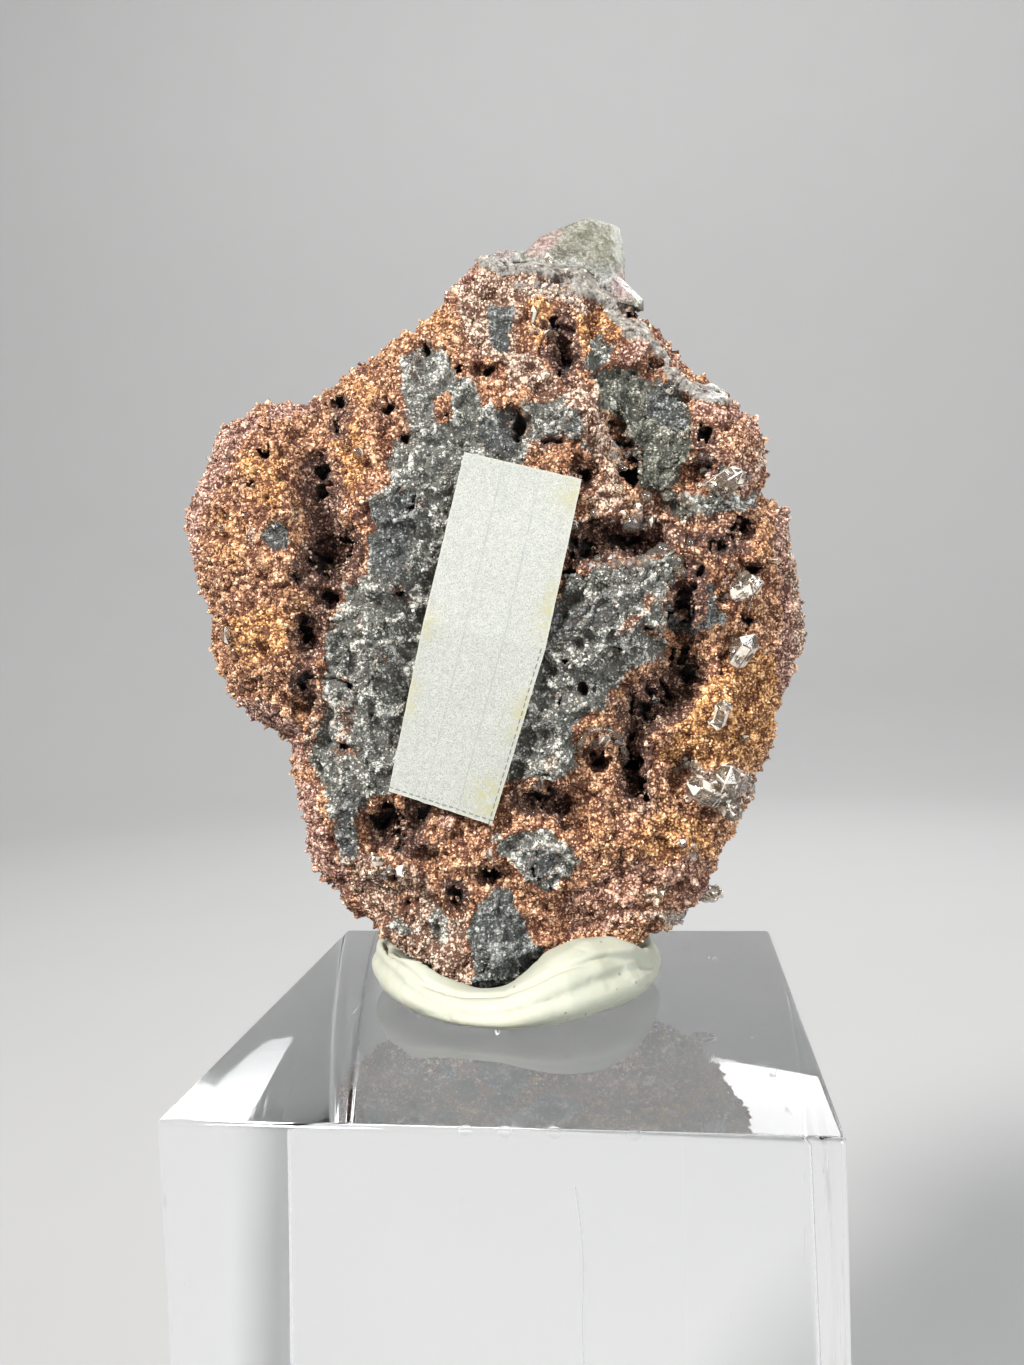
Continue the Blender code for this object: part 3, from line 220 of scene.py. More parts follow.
# Smaller patches painted over them: kind, then across, up, half width, half height, turn, strength
FRONT_PATCHES = (
    ("rose", (
        (-14.2, 28.8, 0.6, 0.5, 0, 0.6), (-3.6, 11.2, 0.7, 1.0, 0, 0.6), (7.8, 36.0, 1.2, 0.7, 0, 0.7),
        (13.6, 25.6, 1.2, 1.6, 0, 0.4), (6.4, 17.0, 1.2, 0.5, 40, 0.7), (7.6, 13.4, 0.7, 1.0, 0, 0.6),
        (-1.2, 36.4, 1.0, 0.6, 0, 0.5), (-7.6, 27.8, 0.5, 1.2, 0, 0.5), (-11.2, 18.4, 0.8, 1.0, 0, 0.5),
    )),
    ("pale", (
        (-7.5, 31.3, 0.6, 0.6, 0, 0.9), (-13.7, 26.9, 0.7, 0.7, 0, 0.8), (-8.6, 28.2, 0.4, 0.7, 0, 0.7),
        (7.2, 21.4, 1.3, 0.35, -40, 0.85), (8.3, 22.6, 0.5, 0.4, 0, 0.8), (-7.9, 21.8, 0.5, 0.6, 0, 0.6),
        (-5.0, 33.0, 0.5, 1.4, 0, 0.5), (9.4, 9.2, 0.6, 0.6, 0, 0.7), (8.0, 6.2, 1.0, 0.5, 0, 0.7),
        (8.4, 5.1, 1.6, 0.5, 0, 0.9), (12.2, 12.4, 2.2, 1.2, 0, 0.6), (10.2, 12.8, 1.4, 0.9, 0, 0.5),
        (6.3, 10.6, 0.5, 0.9, 0, 0.5), (3.0, 10.6, 0.9, 0.5, 0, 0.5), (-9.2, 15.4, 0.9, 2.0, 0, 0.35),
        (2.4, 14.0, 1.4, 0.9, 0, 0.5), (14.8, 13.4, 0.6, 0.6, 0, 0.7), (16.9, 21.6, 0.5, 2.4, 0, 0.7),
        (14.4, 30.0, 0.5, 1.0, 0, 0.7), (-16.6, 22.4, 0.5, 0.9, 0, 0.8), (-0.6, 37.4, 0.5, 0.9, 0, 0.8),
        (0.3, 36.2, 0.3, 0.5, 0, 0.8), (6.2, 28.6, 0.6, 0.8, 0, 0.5), (-1.3, 8.9, 0.5, 0.5, 0, 0.6),
    )),
    ("grey", (
        (-12.2, 32.9, 0.5, 0.4, 0, 0.3), (7.8, 20.2, 0.9, 0.5, 0, 0.6), (-0.9, 9.9, 0.5, 0.4, 0, 0.6),
        (-4.2, 5.2, 0.5, 1.2, 0, 0.5), (-6.4, 5.2, 0.7, 0.5, 30, 0.6), (8.7, 6.4, 0.5, 0.4, 0, 0.5),
        (12.2, 29.4, 0.5, 0.5, 0, 0.7),
    )),
    ("slate", (
        (-12.0, 27.0, 0.95, 0.9, 0, 1.0), (-4.4, 36.0, 0.5, 0.8, 0, 0.5), (-9.0, 17.4, 0.5, 1.4, 0, 0.4),
    )),
    ("moss", (
        (9.6, 27.8, 1.0, 0.7, 0, 0.7), (8.4, 20.6, 0.7, 0.5, 0, 0.5), (-10.8, 28.2, 0.5, 0.5, 0, 0.5),
        (6.2, 34.8, 0.6, 0.6, 0, 0.6),
    )),
    ("ochre", (
        (-12.6, 30.2, 1.6, 2.2, 0, 0.8), (-14.8, 26.6, 1.4, 2.4, 0, 0.5), (-8.0, 31.2, 1.0, 2.6, 0, 0.8),
        (-13.4, 21.6, 2.2, 1.8, 0, 0.8), (-7.2, 34.4, 1.6, 1.2, 0, 0.5), (-3.2, 38.4, 1.8, 0.9, 30, 0.5),
        (13.2, 31.0, 1.4, 1.6, 0, 0.4), (14.2, 25.6, 1.2, 1.8, 0, 0.5), (9.2, 9.6, 2.2, 1.4, 0, 0.4),
    )),
    # Painted shade: dark brown in valleys, round pits and under the plates' ledges
    ("umber", (
        (-9.6, 29.0, 1.0, 2.6, -6, 0.75), (-9.3, 25.4, 1.7, 1.6, 0, 0.8), (-9.9, 22.2, 0.9, 1.4, 0, 0.45),
        (-10.9, 20.0, 0.9, 1.8, 10, 0.45), (-10.4, 17.6, 0.9, 0.9, 0, 0.6), (7.0, 26.2, 3.6, 1.0, 0, 0.9),
        (10.4, 22.6, 1.2, 2.2, 0, 0.7), (8.4, 17.2, 2.6, 1.5, -40, 0.8), (7.2, 13.2, 0.9, 2.2, 0, 0.75),
        (4.2, 36.6, 0.8, 2.2, 0, 0.6), (12.4, 25.8, 1.6, 0.9, 0, 0.55), (-6.2, 10.2, 1.3, 1.2, 0, 0.7),
        (1.4, 11.7, 1.8, 0.6, 10, 0.7), (-3.4, 6.9, 1.0, 0.8, 0, 0.6), (11.2, 31.2, 0.9, 1.0, 0, 0.6),
        (5.6, 11.6, 2.0, 1.0, 0, 0.4),
    )),
    ("rust", ((4.0, 30.5, 1.1, 0.45, 10, 0.8),)),
    # Painted shade, near black, in the pits and caves, which are also pushed in; each is ringed with more
    # painted shade
    ("hollow", (
        (-9.5, 29.6, 0.5, 1.8, -6, 0.45), (-9.2, 25.6, 1.3, 1.0, 0, 0.55), (-8.4, 26.2, 0.4, 0.7, 0, 0.7),
        (-9.4, 23.3, 0.4, 0.3, 0, 0.85), (-10.6, 21.6, 0.3, 0.7, 0, 0.8), (-10.9, 18.9, 0.45, 0.5, 20, 0.8),
        (-8.6, 32.7, 0.3, 0.4, 0, 0.9), (-8.3, 33.8, 0.35, 0.3, 0, 0.9), (-6.0, 33.4, 0.3, 0.3, 0, 0.8),
        (3.4, 37.4, 0.35, 0.9, 10, 0.8), (3.9, 35.6, 0.3, 0.8, -10, 1.0), (-0.4, 35.3, 0.3, 0.35, 0, 0.75),
        (1.3, 32.4, 0.25, 0.6, 0, 0.9), (6.8, 31.6, 0.25, 1.0, -20, 0.8), (7.4, 29.8, 0.25, 1.2, 0, 0.65),
        (8.7, 35.0, 0.3, 0.3, 0, 0.9), (4.9, 29.6, 0.35, 0.3, 0, 1.0), (11.4, 31.3, 0.4, 0.7, 0, 0.6),
        (13.2, 26.4, 0.6, 0.6, 0, 0.62), (11.6, 25.6, 0.8, 0.4, 0, 0.62), (4.6, 25.6, 1.0, 0.45, 0, 0.9),
        (7.0, 25.9, 1.3, 0.4, 10, 0.8), (3.8, 24.2, 0.4, 0.3, 0, 0.9), (9.9, 22.2, 0.5, 1.1, 0, 0.7),
        (10.8, 24.2, 0.5, 0.4, 0, 0.6), (9.8, 19.0, 1.0, 0.9, 20, 0.62), (8.4, 17.4, 0.9, 0.7, 0, 0.62),
        (7.4, 16.6, 0.6, 0.5, 0, 0.9), (6.9, 14.2, 0.3, 1.2, 0, 1.0), (7.4, 12.2, 0.3, 0.9, -30, 0.9),
        (5.1, 14.3, 0.4, 0.4, 0, 0.8), (1.8, 12.0, 0.9, 0.35, 15, 1.0), (-6.6, 10.9, 0.9, 0.8, 0, 0.9),
        (-6.2, 9.8, 0.5, 0.6, 0, 0.7), (-5.0, 11.4, 0.3, 0.5, 0, 0.9), (-4.7, 9.3, 0.3, 0.3, 0, 0.8),
        (-3.2, 6.6, 0.5, 0.5, 0, 0.9), (-1.3, 7.9, 0.5, 0.3, 0, 1.0), (-6.5, 7.9, 0.25, 0.2, 0, 0.9),
        (-6.0, 6.4, 0.2, 0.3, 0, 0.8), (13.9, 23.9, 0.5, 0.4, 0, 0.5), (13.4, 21.2, 0.7, 0.4, 0, 0.55),
        (-4.8, 28.4, 0.35, 0.3, 0, 1.0), (-5.3, 23.3, 0.3, 0.35, 0, 1.0), (-7.0, 20.3, 0.25, 0.2, 0, 1.0),
        (-8.7, 18.7, 0.35, 0.3, 0, 0.9), (-9.2, 15.2, 0.4, 0.3, 0, 0.7), (7.7, 38.0, 0.3, 0.3, 0, 0.7),
        (-13.5, 29.6, 0.3, 0.4, 0, 0.6), (2.3, 31.2, 0.2, 0.2, 0, 0.8), (3.0, 31.2, 0.5, 0.2, 0, 0.7),
        (-4.9, 32.0, 0.3, 0.3, 0, 0.7), (-2.8, 33.0, 0.3, 0.2, 0, 0.8), (-3.7, 36.8, 0.3, 0.3, 0, 0.8),
        (-1.9, 35.9, 0.3, 0.3, 0, 0.6), (5.3, 26.8, 0.3, 0.3, 0, 0.7), (6.2, 19.8, 0.3, 0.25, 0, 0.7),
        (8.2, 20.9, 0.4, 0.2, 0, 0.9), (4.4, 17.9, 0.3, 0.3, 0, 0.7), (2.8, 17.4, 0.35, 0.25, 0, 0.7),
        (3.2, 19.6, 0.3, 0.25, 0, 0.6), (-12.6, 31.6, 0.3, 0.3, 0, 0.6), (-10.8, 24.6, 0.5, 0.4, 0, 0.6),
        (1.4, 7.6, 0.2, 0.8, 0, 0.8),
    )),
)

# The same for the hidden side, seen from the front: x, z, half width, half height, turn, strength
BACK_PATCHES = (
    ("ochre", (
        (-7.0, 27.0, 5.0, 6.0, 15, 0.7), (6.0, 11.0, 5.0, 4.0, 0, 0.7), (9.0, 22.0, 3.0, 4.0, 0, 0.5),
    )),
    ("rose", (
        (-15.5, 25.0, 2.6, 6.0, 0, 0.8), (14.5, 22.0, 3.0, 6.0, 0, 0.8), (-2.0, 37.0, 5.0, 2.4, 30, 0.7),
        (-8.0, 8.0, 3.0, 3.5, 30, 0.6),
    )),
    ("pale", (
        (7.4, 32.0, 4.6, 4.4, 0, 0.8), (-7.4, 17.4, 3.4, 2.6, 0, 0.8), (2.0, 40.0, 5.0, 2.0, 0, 0.9),
        (1.0, 20.0, 2.6, 2.0, 0, 0.5),
    )),
    ("grey", (
        (0.4, 14.0, 5.4, 4.6, 25, 1.0), (-11.0, 22.6, 2.0, 2.6, 0, 0.9), (-2.6, 31.6, 3.0, 3.2, -20, 1.0),
        (12.4, 17.0, 2.4, 2.2, 0, 0.9),
    )),
    ("slate", ((1.6, 13.0, 2.6, 2.2, 0, 0.7), (-2.6, 32.4, 1.6, 1.8, 0, 0.8))),
    # Painted shade in the pits of the hidden side, which are also pushed in
    ("hollow", (
        (-0.8, 25.4, 0.9, 5.0, 8, 0.9), (-7.0, 14.0, 2.2, 0.7, 20, 0.8), (8.5, 14.6, 1.4, 1.2, 0, 0.9),
        (5.5, 20.5, 0.6, 1.0, 30, 0.9), (-11.5, 29.5, 0.6, 0.6, 0, 0.9), (-2.5, 7.5, 1.0, 0.6, 0, 0.8),
    )),
)

# The kinds of crust, in the order in which their colours are laid over the rust; the last two are painted
# shade
KINDS = ("ochre", "rose", "pale", "grey", "slate", "moss", "glass", "umber", "hollow")

# Where clear crusts and grains grow: across, up, half width, half height, turn, strength
CLEAR_PATCHES = (
    (9.2, 38.2, 3.0, 0.4, 50, 0.6), (12.4, 28.9, 1.7, 0.6, 0, 0.8), (11.2, 29.6, 0.4, 0.9, 0, 0.9),
    (12.2, 12.2, 2.0, 1.0, 0, 0.8), (12.9, 23.0, 0.9, 1.2, 0, 0.5), (8.6, 5.0, 1.6, 0.5, 0, 0.6),
    (5.6, 15.2, 1.0, 0.4, 0, 0.6), (-6.8, 8.2, 1.0, 0.8, 0, 0.5), (6.6, 30.6, 0.8, 1.2, -30, 0.5),
    (2.6, 37.8, 0.4, 0.9, 20, 0.6), (14.8, 13.2, 0.6, 0.6, 0, 0.6), (3.0, 39.4, 2.4, 0.5, 10, 0.7),
    (6.8, 24.8, 3.0, 0.35, 0, 0.9), (7.6, 27.0, 0.9, 0.9, 0, 0.5), (5.5, 15.0, 1.1, 0.3, 0, 0.8),
    (10.0, 8.6, 0.3, 0.9, 0, 0.7), (10.2, 13.2, 1.4, 0.4, 20, 0.7),
)

# Small bright crystals seated on the front: across, up, length, width, lean across and up
SEATED_CRYSTALS = (
    (-14.9, 21.5, 1.4, 0.75, -0.1, 0.9), (-7.5, 31.2, 1.04, 0.6, 0.1, 0.3), (2.4, 38, 1.36, 0.45, 0.3, 0.6),
    (3, 37.1, 0.88, 0.45, 0.6, 0), (5.6, 31.7, 1.04, 0.45, 0.4, 0.2), (6.7, 29.9, 1.2, 0.45, 0.5, -0.2),
    (8.2, 26.8, 0.8, 0.6, 0.2, 0.4), (5.4, 15, 1.52, 0.52, 0.2, 0.4), (6.3, 14.7, 1.12, 0.3, -0.3, 0.8),
    (8.1, 17, 0.96, 0.68, 0, 0.2), (-1.1, 8.9, 1.04, 0.41, 0.2, 0.6), (-7.4, 8.9, 1.12, 0.6, -0.5, 0.2),
    (-6.1, 8.3, 1.04, 0.6, 0.2, -0.3), (9.4, 9.2, 0.88, 0.45, 0.3, 0.1), (8, 6.4, 1.04, 0.52, 0.1, -0.4),
    (14.9, 24.5, 1.12, 0.38, 0.6, 0.1), (12.9, 14.8, 0.96, 0.52, 0.5, 0), (9.6, 33.9, 0.8, 0.45, 0.5, 0.4),
    (-12.2, 27.4, 0.64, 0.38, 0.3, 0.3), (3.2, 41, 1.36, 0.52, -0.1, 0.9),
    (-14.9, 27.4, 0.72, 0.45, -0.3, 0.3), (4.1, 26.9, 0.72, 0.6, 0.1, 0.4),
    (-15.2, 31, 0.72, 0.45, -0.5, 0.4), (7.6, 27.6, 0.62, 0.5, 0.2, -0.3), (2.8, 39.6, 0.62, 0.5, 0, -0.3),
    (3.3, 39.9, 0.5, 0.4, 0.2, 0.2), (4.2, 40.2, 0.5, 0.4, 0.3, -0.3), (11.2, 29.4, 0.75, 0.6, -0.4, -0.3),
    (12, 28.6, 0.62, 0.5, -0.5, 0.3), (11, 28.6, 0.56, 0.45, 0.2, 0.3), (10.6, 12.6, 0.75, 0.6, 0.2, -0.3),
    (11.4, 11.4, 0.62, 0.5, 0.1, -0.3), (13, 11.6, 0.69, 0.55, -0.2, 0), (9.9, 11.6, 0.62, 0.5, -0.4, 0),
)

# Round glassy beads seated on the front: across, up, width
BEADS = (
    (3.45, 23.4, 1.05), (5.8, 24.4, 0.75), (6.5, 24.6, 0.65), (7.1, 24.3, 0.55), (7.65, 24.7, 0.9),
    (8.3, 25.0, 0.75), (8.9, 25.2, 0.95), (9.45, 24.8, 1.05), (9.8, 24.0, 0.7), (9.2, 23.6, 0.55),
    (8.5, 24.2, 0.6), (7.3, 26.8, 1.1), (6.9, 23.7, 0.5), (12.7, 22.6, 0.6), (13.5, 20.3, 0.7),
    (12.6, 20.2, 0.55), (10.3, 25.6, 0.6), (5.3, 24.9, 0.5), (4.2, 23.9, 0.55), (8.2, 17.0, 0.6),
    (5.3, 27.4, 0.6), (8.0, 28.2, 0.7), (6.6, 28.7, 0.6), (11.6, 28.0, 0.6),
)

# Curled rims of the same glass: width, then places across and up
RIMS = (
    (0.46, (
        (4.0, 13.9), (3.9, 14.85), (4.25, 15.5), (4.9, 15.75), (5.7, 15.6), (6.2, 15.0), (6.45, 14.2),
        (6.25, 13.5),
    )),
    (0.50, ((8.9, 13.0), (9.45, 13.5), (10.1, 13.6), (10.65, 13.2), (10.95, 12.5))),
    (0.40, ((12.3, 24.6), (12.8, 24.0), (13.45, 23.5), (13.65, 22.6), (13.2, 21.8))),
)

# Where the crystals at the top are rosy, dark and banded, and where a highlight is painted on them, as front
# patches without a kind
APEX_PATCHES = {
    "rose": ((3.0, 41.95, 0.9, 0.6, -35, 0.9), (0.2, 41.5, 1.3, 0.5, 0, 0.5), (7.4, 39.6, 0.8, 1.2, 40, 0.8)),
    # A painted highlight along the right edge and at the top
    "bright": (
        (7.0, 41.9, 0.35, 1.7, -6, 0.8), (6.0, 43.0, 0.9, 0.35, 0, 0.7), (1.8, 41.4, 0.3, 0.5, 30, 0.6),
    ),
    "dark": (
        (4.1, 41.4, 0.9, 0.35, -10, 0.85), (0.7, 40.8, 0.3, 0.3, 0, 0.9), (2.0, 41.4, 0.15, 0.5, 30, 0.8),
        (4.9, 42.0, 0.5, 0.25, 20, 0.5), (5.5, 42.4, 0.3, 0.5, 0, 0.4),
    ),
    "band": ((3.8, 40.4, 3.2, 0.6, 12, 0.85), (0.8, 40.9, 1.8, 0.5, 0, 0.7), (6.4, 39.8, 1.3, 0.7, 40, 0.7)),
}

# Corners of the paper label on its plane, and its depths in front of the rim at top, middle and foot
LABEL_TOP = ((-1.7, 31.0), (4.6, 29.3))
LABEL_MIDDLE = ((-4.3, 21.9), (2.3, 20.2))
LABEL_FOOT = ((-6.6, 12.7), (-1.0, 10.6))
LABEL_DEPTHS = (6.3, 7.1, 6.6)

# Yellowed spots at the label's edges: across and up from its lower left corner, half width and half height
LABEL_STAINS = (
    (0.1, 9.3, 0.7, 0.9), (6.4, 11.6, 0.6, 1.6), (6.5, 5.8, 0.7, 1.6), (5.9, 1.2, 1.2, 1.3),
    (6.3, 18.0, 0.9, 0.9), (0.2, 5.4, 0.4, 1.2),
)

# The fold in the front of the tack, in degrees round the collar's middle and millimetres from it
COLLAR_MIDDLE = (-0.1, 0.1)
FOLD_LINE = (
    (186, 7.5), (193, 7.7), (217, 8.5), (235, 8.8), (257, 8.5), (269, 8.7), (280, 9.1), (295, 9.25),
    (305, 9.2), (318, 9.2), (335, 9.0),
)

# How the crust's painted light and shade differ on its rusty and on its grey parts: it is multiplied by one
# colour as painted shade in creases and low places and by another as a painted highlight on raised places,
# mixed there with a cream painted highlight by its share; dark and light grains take the same colours as
# their own tone
RUSTY_TONES = {
    "crease": (0.19, 0.10, 0.06), "highlight_gain": (1.9, 1.9, 1.9), "crystal": (0.93, 0.79, 0.60), "share": 0.55,
}
GREY_TONES = {
    "crease": (0.20, 0.20, 0.19), "highlight_gain": (1.6, 1.62, 1.64), "crystal": (0.74, 0.74, 0.69), "share": 0.42,
}

# Colours laid on the crystals at the top: the mask, then the colour between the flecks and on them
APEX_TONES = (
    ("band", (0.075, 0.08, 0.08), (0.42, 0.41, 0.385)),
    ("rose", (0.16, 0.07, 0.06), (0.50, 0.36, 0.33)),
    # The painted highlight
    ("bright", (0.44, 0.44, 0.40), (0.44, 0.44, 0.40)),
    ("dark", (0.055, 0.050, 0.028), (0.055, 0.050, 0.028)),
)

# Finishes of the large crystals' facets: material, colour, share of it where worn, roughness, transmission
CRYSTAL_FINISHES = (
    ("clear_crystal", "facet", 0.92, 0.03, 0.96),
    ("frosted_crystal", "frosted", 0.80, 0.28, 0.15),
)

# Share of the facets that are clear
CLEAR_FACETS = 0.66

# Lines on the label, in millimetres from its lower left corner
CUT_LINE_ACROSS = 6.32
CUT_LINE_UP = 0.22
CUT_LINE_TOP = 9.5
DASHES_PER_MM = 2.4
DASH_SHARE = 0.62
RULED_LINES = (2.2, 4.3)

# Marks on the front of the block: one long scratch, and chips along the upper edge, in millimetres across
BLOCK_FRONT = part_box("clear_block")[0].y
LONG_SCRATCH_ACROSS = 3.9 * MM
LONG_SCRATCH_TOP = BLOCK_TOP - 2.4 * MM
CHIPS = (-0.9, 0.8, 2.9, 6.3)

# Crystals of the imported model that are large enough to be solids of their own
SINGLE_CRYSTALS = (
    "upper_right_crystal", "right_edge_crystal", "slope_crystal", "small_slope_crystal", "foot_edge_crystal",
    "lower_right_crystals", "back_crystals_upper", "back_crystals_lower",
)

# Camera, fitted to how the block's corners and edges stand in the view
CAMERA_PLACE = Vector((7.81, -58.76, 81.32)) * MM
CAMERA_YAW = 0.135
CAMERA_PITCH = 0.0501
CAMERA_ROLL = -0.0376
CAMERA_LENS = 37.325


def length_property(name, description, millimetres):
    """A length that is shown in the scene's own units."""
    return bpy.props.FloatProperty(
        name=name, description=description, default=millimetres * MM, min=0.0, unit="LENGTH", precision=6
    )


def colour_property(name, description, colour):
    """A colour in linear values."""
    return bpy.props.FloatVectorProperty(
        name=name, description=description, default=colour, size=3, min=0.0, max=1.0, subtype="COLOR"
    )


def power_property(name, description, watts):
    """The power of a light."""
    return bpy.props.FloatProperty(name=name, description=description, default=watts, min=0.0, unit="POWER")


class CrustSizes(bpy.types.PropertyGroup):
    """Sizes of the drusy crust that covers the stone."""

    voxel: length_property("Fineness", "Size of the crust's own faces", 0.15)
    smoothing: bpy.props.IntProperty(
        name="Smoothing", description="Passes that round the solid's flat faces", default=4
    )
    warp: length_property("Ragged edges", "How far the colour regions' edges wander", 0.30)
    knob: length_property("Knob size", "Size across of the round knobs", 1.5)
    knob_rise: length_property("Knob rise", "Height of the knobs over their creases", 0.70)
    clump: length_property("Clump size", "Size across of the clumps on the knobs", 0.75)
    clump_rise: length_property("Clump rise", "Height of the clumps", 0.50)
    crease: length_property("Crease depth", "Depth of the sharp creases between clumps", 0.30)
    nub: length_property("Nub size", "Size across of the nubs on the clumps", 0.40)
    nub_rise: length_property("Nub rise", "Height of the nubs", 0.26)
    pock: length_property("Pock spacing", "Distance between the small pits of the grey plates", 0.95)
    pock_depth: length_property("Pock depth", "Depth of the small pits of the grey plates", 0.38)
    sink: length_property("Sink", "How far the crust is let in, to keep its knobs on the outline", 0.24)
    pit_depth: length_property("Pit depth", "How far the dark pits and caves are pushed in", 0.95)


class GrainSizes(bpy.types.PropertyGroup):
    """Sizes of the grains, and how close together they stand."""

    rust_spacing: length_property("Rust spacing", "Least distance between rusty grains", 0.168)
    rust_small: length_property("Smallest rust grain", "Width of the smallest rusty grains", 0.15)
    rust_large: length_property("Largest rust grain", "Width of the largest rusty grains", 0.335)
    grey_spacing: length_property("Grey spacing", "Least distance between grey grains", 0.14)
    grey_small: length_property("Smallest grey grain", "Width of the smallest grey grains", 0.14)
    grey_large: length_property("Largest grey grain", "Width of the largest grey grains", 0.33)
    coarser: bpy.props.FloatProperty(
        name="Coarser back", description="How much coarser the back's grains are", default=1.35
    )
    clear_spacing: length_property("Clear spacing", "Least distance between clear grains", 0.26)
    clear_small: length_property("Smallest clear grain", "Width of the smallest clear grains", 0.20)
    clear_large: length_property("Largest clear grain", "Width of the largest clear grains", 0.52)
    seed: bpy.props.IntProperty(name="Seed", description="Start of the grains' random places", default=11)


class SpecimenColours(bpy.types.PropertyGroup):
    """Colours of the specimen, its label and its mount."""

    rust: colour_property("Rust", "Drusy crust", (0.58, 0.305, 0.145))
    burnt: colour_property("Burnt rust", "Redder and darker crust", (0.50, 0.235, 0.115))
    ochre: colour_property("Ochre", "Golden crust", (0.68, 0.345, 0.110))
    rose: colour_property("Rose", "Pink and lilac crust on the rims", (0.54, 0.315, 0.245))
    pale: colour_property("Pale", "Whitish and tan crust", (0.64, 0.48, 0.37))
    grey: colour_property("Grey", "Grey granular plates", (0.52, 0.515, 0.465))
    slate: colour_property("Slate", "Darker blue-grey plates", (0.205, 0.213, 0.205))
    moss: colour_property("Moss", "Dark green-grey plates", (0.25, 0.248, 0.195))
    glass: colour_property("Glassy rind", "Smooth grey crust at the top", (0.25, 0.235, 0.21))
    # Painted shade round pits, in valleys and under ledges
    umber: colour_property("Umber", "Dark brown crust round pits and in valleys", (0.205, 0.090, 0.052))
    # Painted shade at the bottoms of the pits and caves
    hollow: colour_property("Hollow", "Bottoms of the pits and caves", (0.020, 0.010, 0.008))
    clear: colour_property("Clear grains", "Clear grains of the crust", (0.93, 0.92, 0.90))
    facet: colour_property("Clear facets", "Clear facets of the large crystals", (0.90, 0.79, 0.65))
    frosted: colour_property("Frosted facets", "White facets of the large crystals", (0.76, 0.68, 0.59))
    apex: colour_property("Apex", "Greenish-grey crystals at the top", (0.235, 0.23, 0.175))
    paper: colour_property("Paper", "Label", (0.42, 0.425, 0.39))
    tack: colour_property("Tack", "Mineral tack", (0.42, 0.43, 0.355))
    acrylic: colour_property("Acrylic", "Clear block", (0.97, 0.98, 0.985))
    floor: colour_property("Floor", "Floor and backdrop", (0.42, 0.42, 0.42))


class StageSizes(bpy.types.PropertyGroup):
    """Floor, lights and backdrop."""

    floor_radius: length_property("Floor", "Flat floor's radius", 450)
    curve: length_property("Curve", "Radius of the backdrop's curve", 350)
    wall: length_property("Wall", "Backdrop's height", 1000)
    key: power_property("Key light", "Power of the main light", 4.3)
    fill: power_property("Fill light", "Power of the fill light", 1.5)
    back: power_property("Back light", "Power of the light from behind", 0.9)
    wall_light: power_property("Wall light", "Power of the backdrop's light", 2.8)
    world: bpy.props.FloatProperty(name="Sky", description="Strength of the light all round", default=0.26)


# Small helpers


def new_object(name, mesh, material=None):
    """Link a mesh as a named object, with one material."""
    thing = bpy.data.objects.new(name, mesh)
    bpy.context.scene.collection.objects.link(thing)
    if material:
        mesh.materials.clear()
        mesh.materials.append(material)
    return thing


def object_from(bm, name, material=None):
    """Turn a bmesh into an object whose faces point outwards."""
    bmesh.ops.recalc_face_normals(bm, faces=bm.faces)
    mesh = bpy.data.meshes.new(name)
    bm.to_mesh(mesh)
    bm.free()
    return new_object(name, mesh, material)


def bake_modifiers(thing):
    """Keep what the modifiers give as the object's own mesh."""
    bpy.context.view_layer.update()
    evaluated = thing.evaluated_get(bpy.context.evaluated_depsgraph_get())
    mesh = bpy.data.meshes.new_from_object(evaluated)
    thing.modifiers.clear()
    old = thing.data
    thing.data = mesh
    bpy.data.meshes.remove(old)
    mesh.name = thing.name


def keep(thing, slot, *nodes):
    """Let a finished piece move with the object's body, and hide the imported solids it replaces; its slot is
    not used.
    """
    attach(thing, BODY)
    if nodes:
        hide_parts(*nodes)


def merged_copy(node):
    """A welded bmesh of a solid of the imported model."""
    bm = bmesh.new()
    bm.from_mesh(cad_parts[node].data)
    bmesh.ops.remove_doubles(bm, verts=bm.verts, dist=0.002 * MM)
    return bm


def fine_copy(name, node, voxel, smoothing):
    """An even, fine-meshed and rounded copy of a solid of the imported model."""
    thing = object_from(merged_copy(node), name)
    even = thing.modifiers.new("even", "REMESH")
    even.mode = "VOXEL"
    even.voxel_size = voxel
    even.adaptivity = 0.0
    soft = thing.modifiers.new("soft", "SMOOTH")
    soft.factor = 0.5
    soft.iterations = smoothing
    bake_modifiers(thing)
    return thing


def read_points(mesh, what="co"):
    """The vertices' places or normals as an array."""
    values = np.empty(len(mesh.vertices) * 3)
    mesh.vertices.foreach_get(what, values)
    return values.reshape(-1, 3)


def write_points(mesh, points):
    """Move the vertices to new places."""
    mesh.vertices.foreach_set("co", points.ravel())
    mesh.update()


def swell(thing, rise):
    """Move each vertex out along its normal by a rise in millimetres."""
    outward = read_points(thing.data, "normal")
    write_points(thing.data, read_points(thing.data) + outward * rise[:, None] * MM)


def shade_with_edges(thing, angle):
    """Shade a piece smooth, but for the edges that are sharper than an angle in degrees."""
    thing.data.shade_smooth()
    thing.data.set_sharp_from_angle(angle=math.radians(angle))


def write_attribute(mesh, name, values):
    """Store one number at each vertex."""
    attribute = mesh.attributes.new(name, "FLOAT", "POINT")
    attribute.data.foreach_set("value", np.asarray(values, np.float32))


def stone_frame(points):
    """Places in the stone's own frame, in millimetres."""
    matrix = np.array(INTO_STONE)
    return (points @ matrix[:3, :3].T + matrix[:3, 3]) / MM


def seen(points):
    """Where points of the stone's frame show on the label's plane: across and up, in millimetres."""
    scale = (-EYE.y - LABEL_PLANE) / (points[:, 1] - EYE.y)
    return EYE.x + (points[:, 0] - EYE.x) * scale, EYE.z + (points[:, 2] - EYE.z) * scale


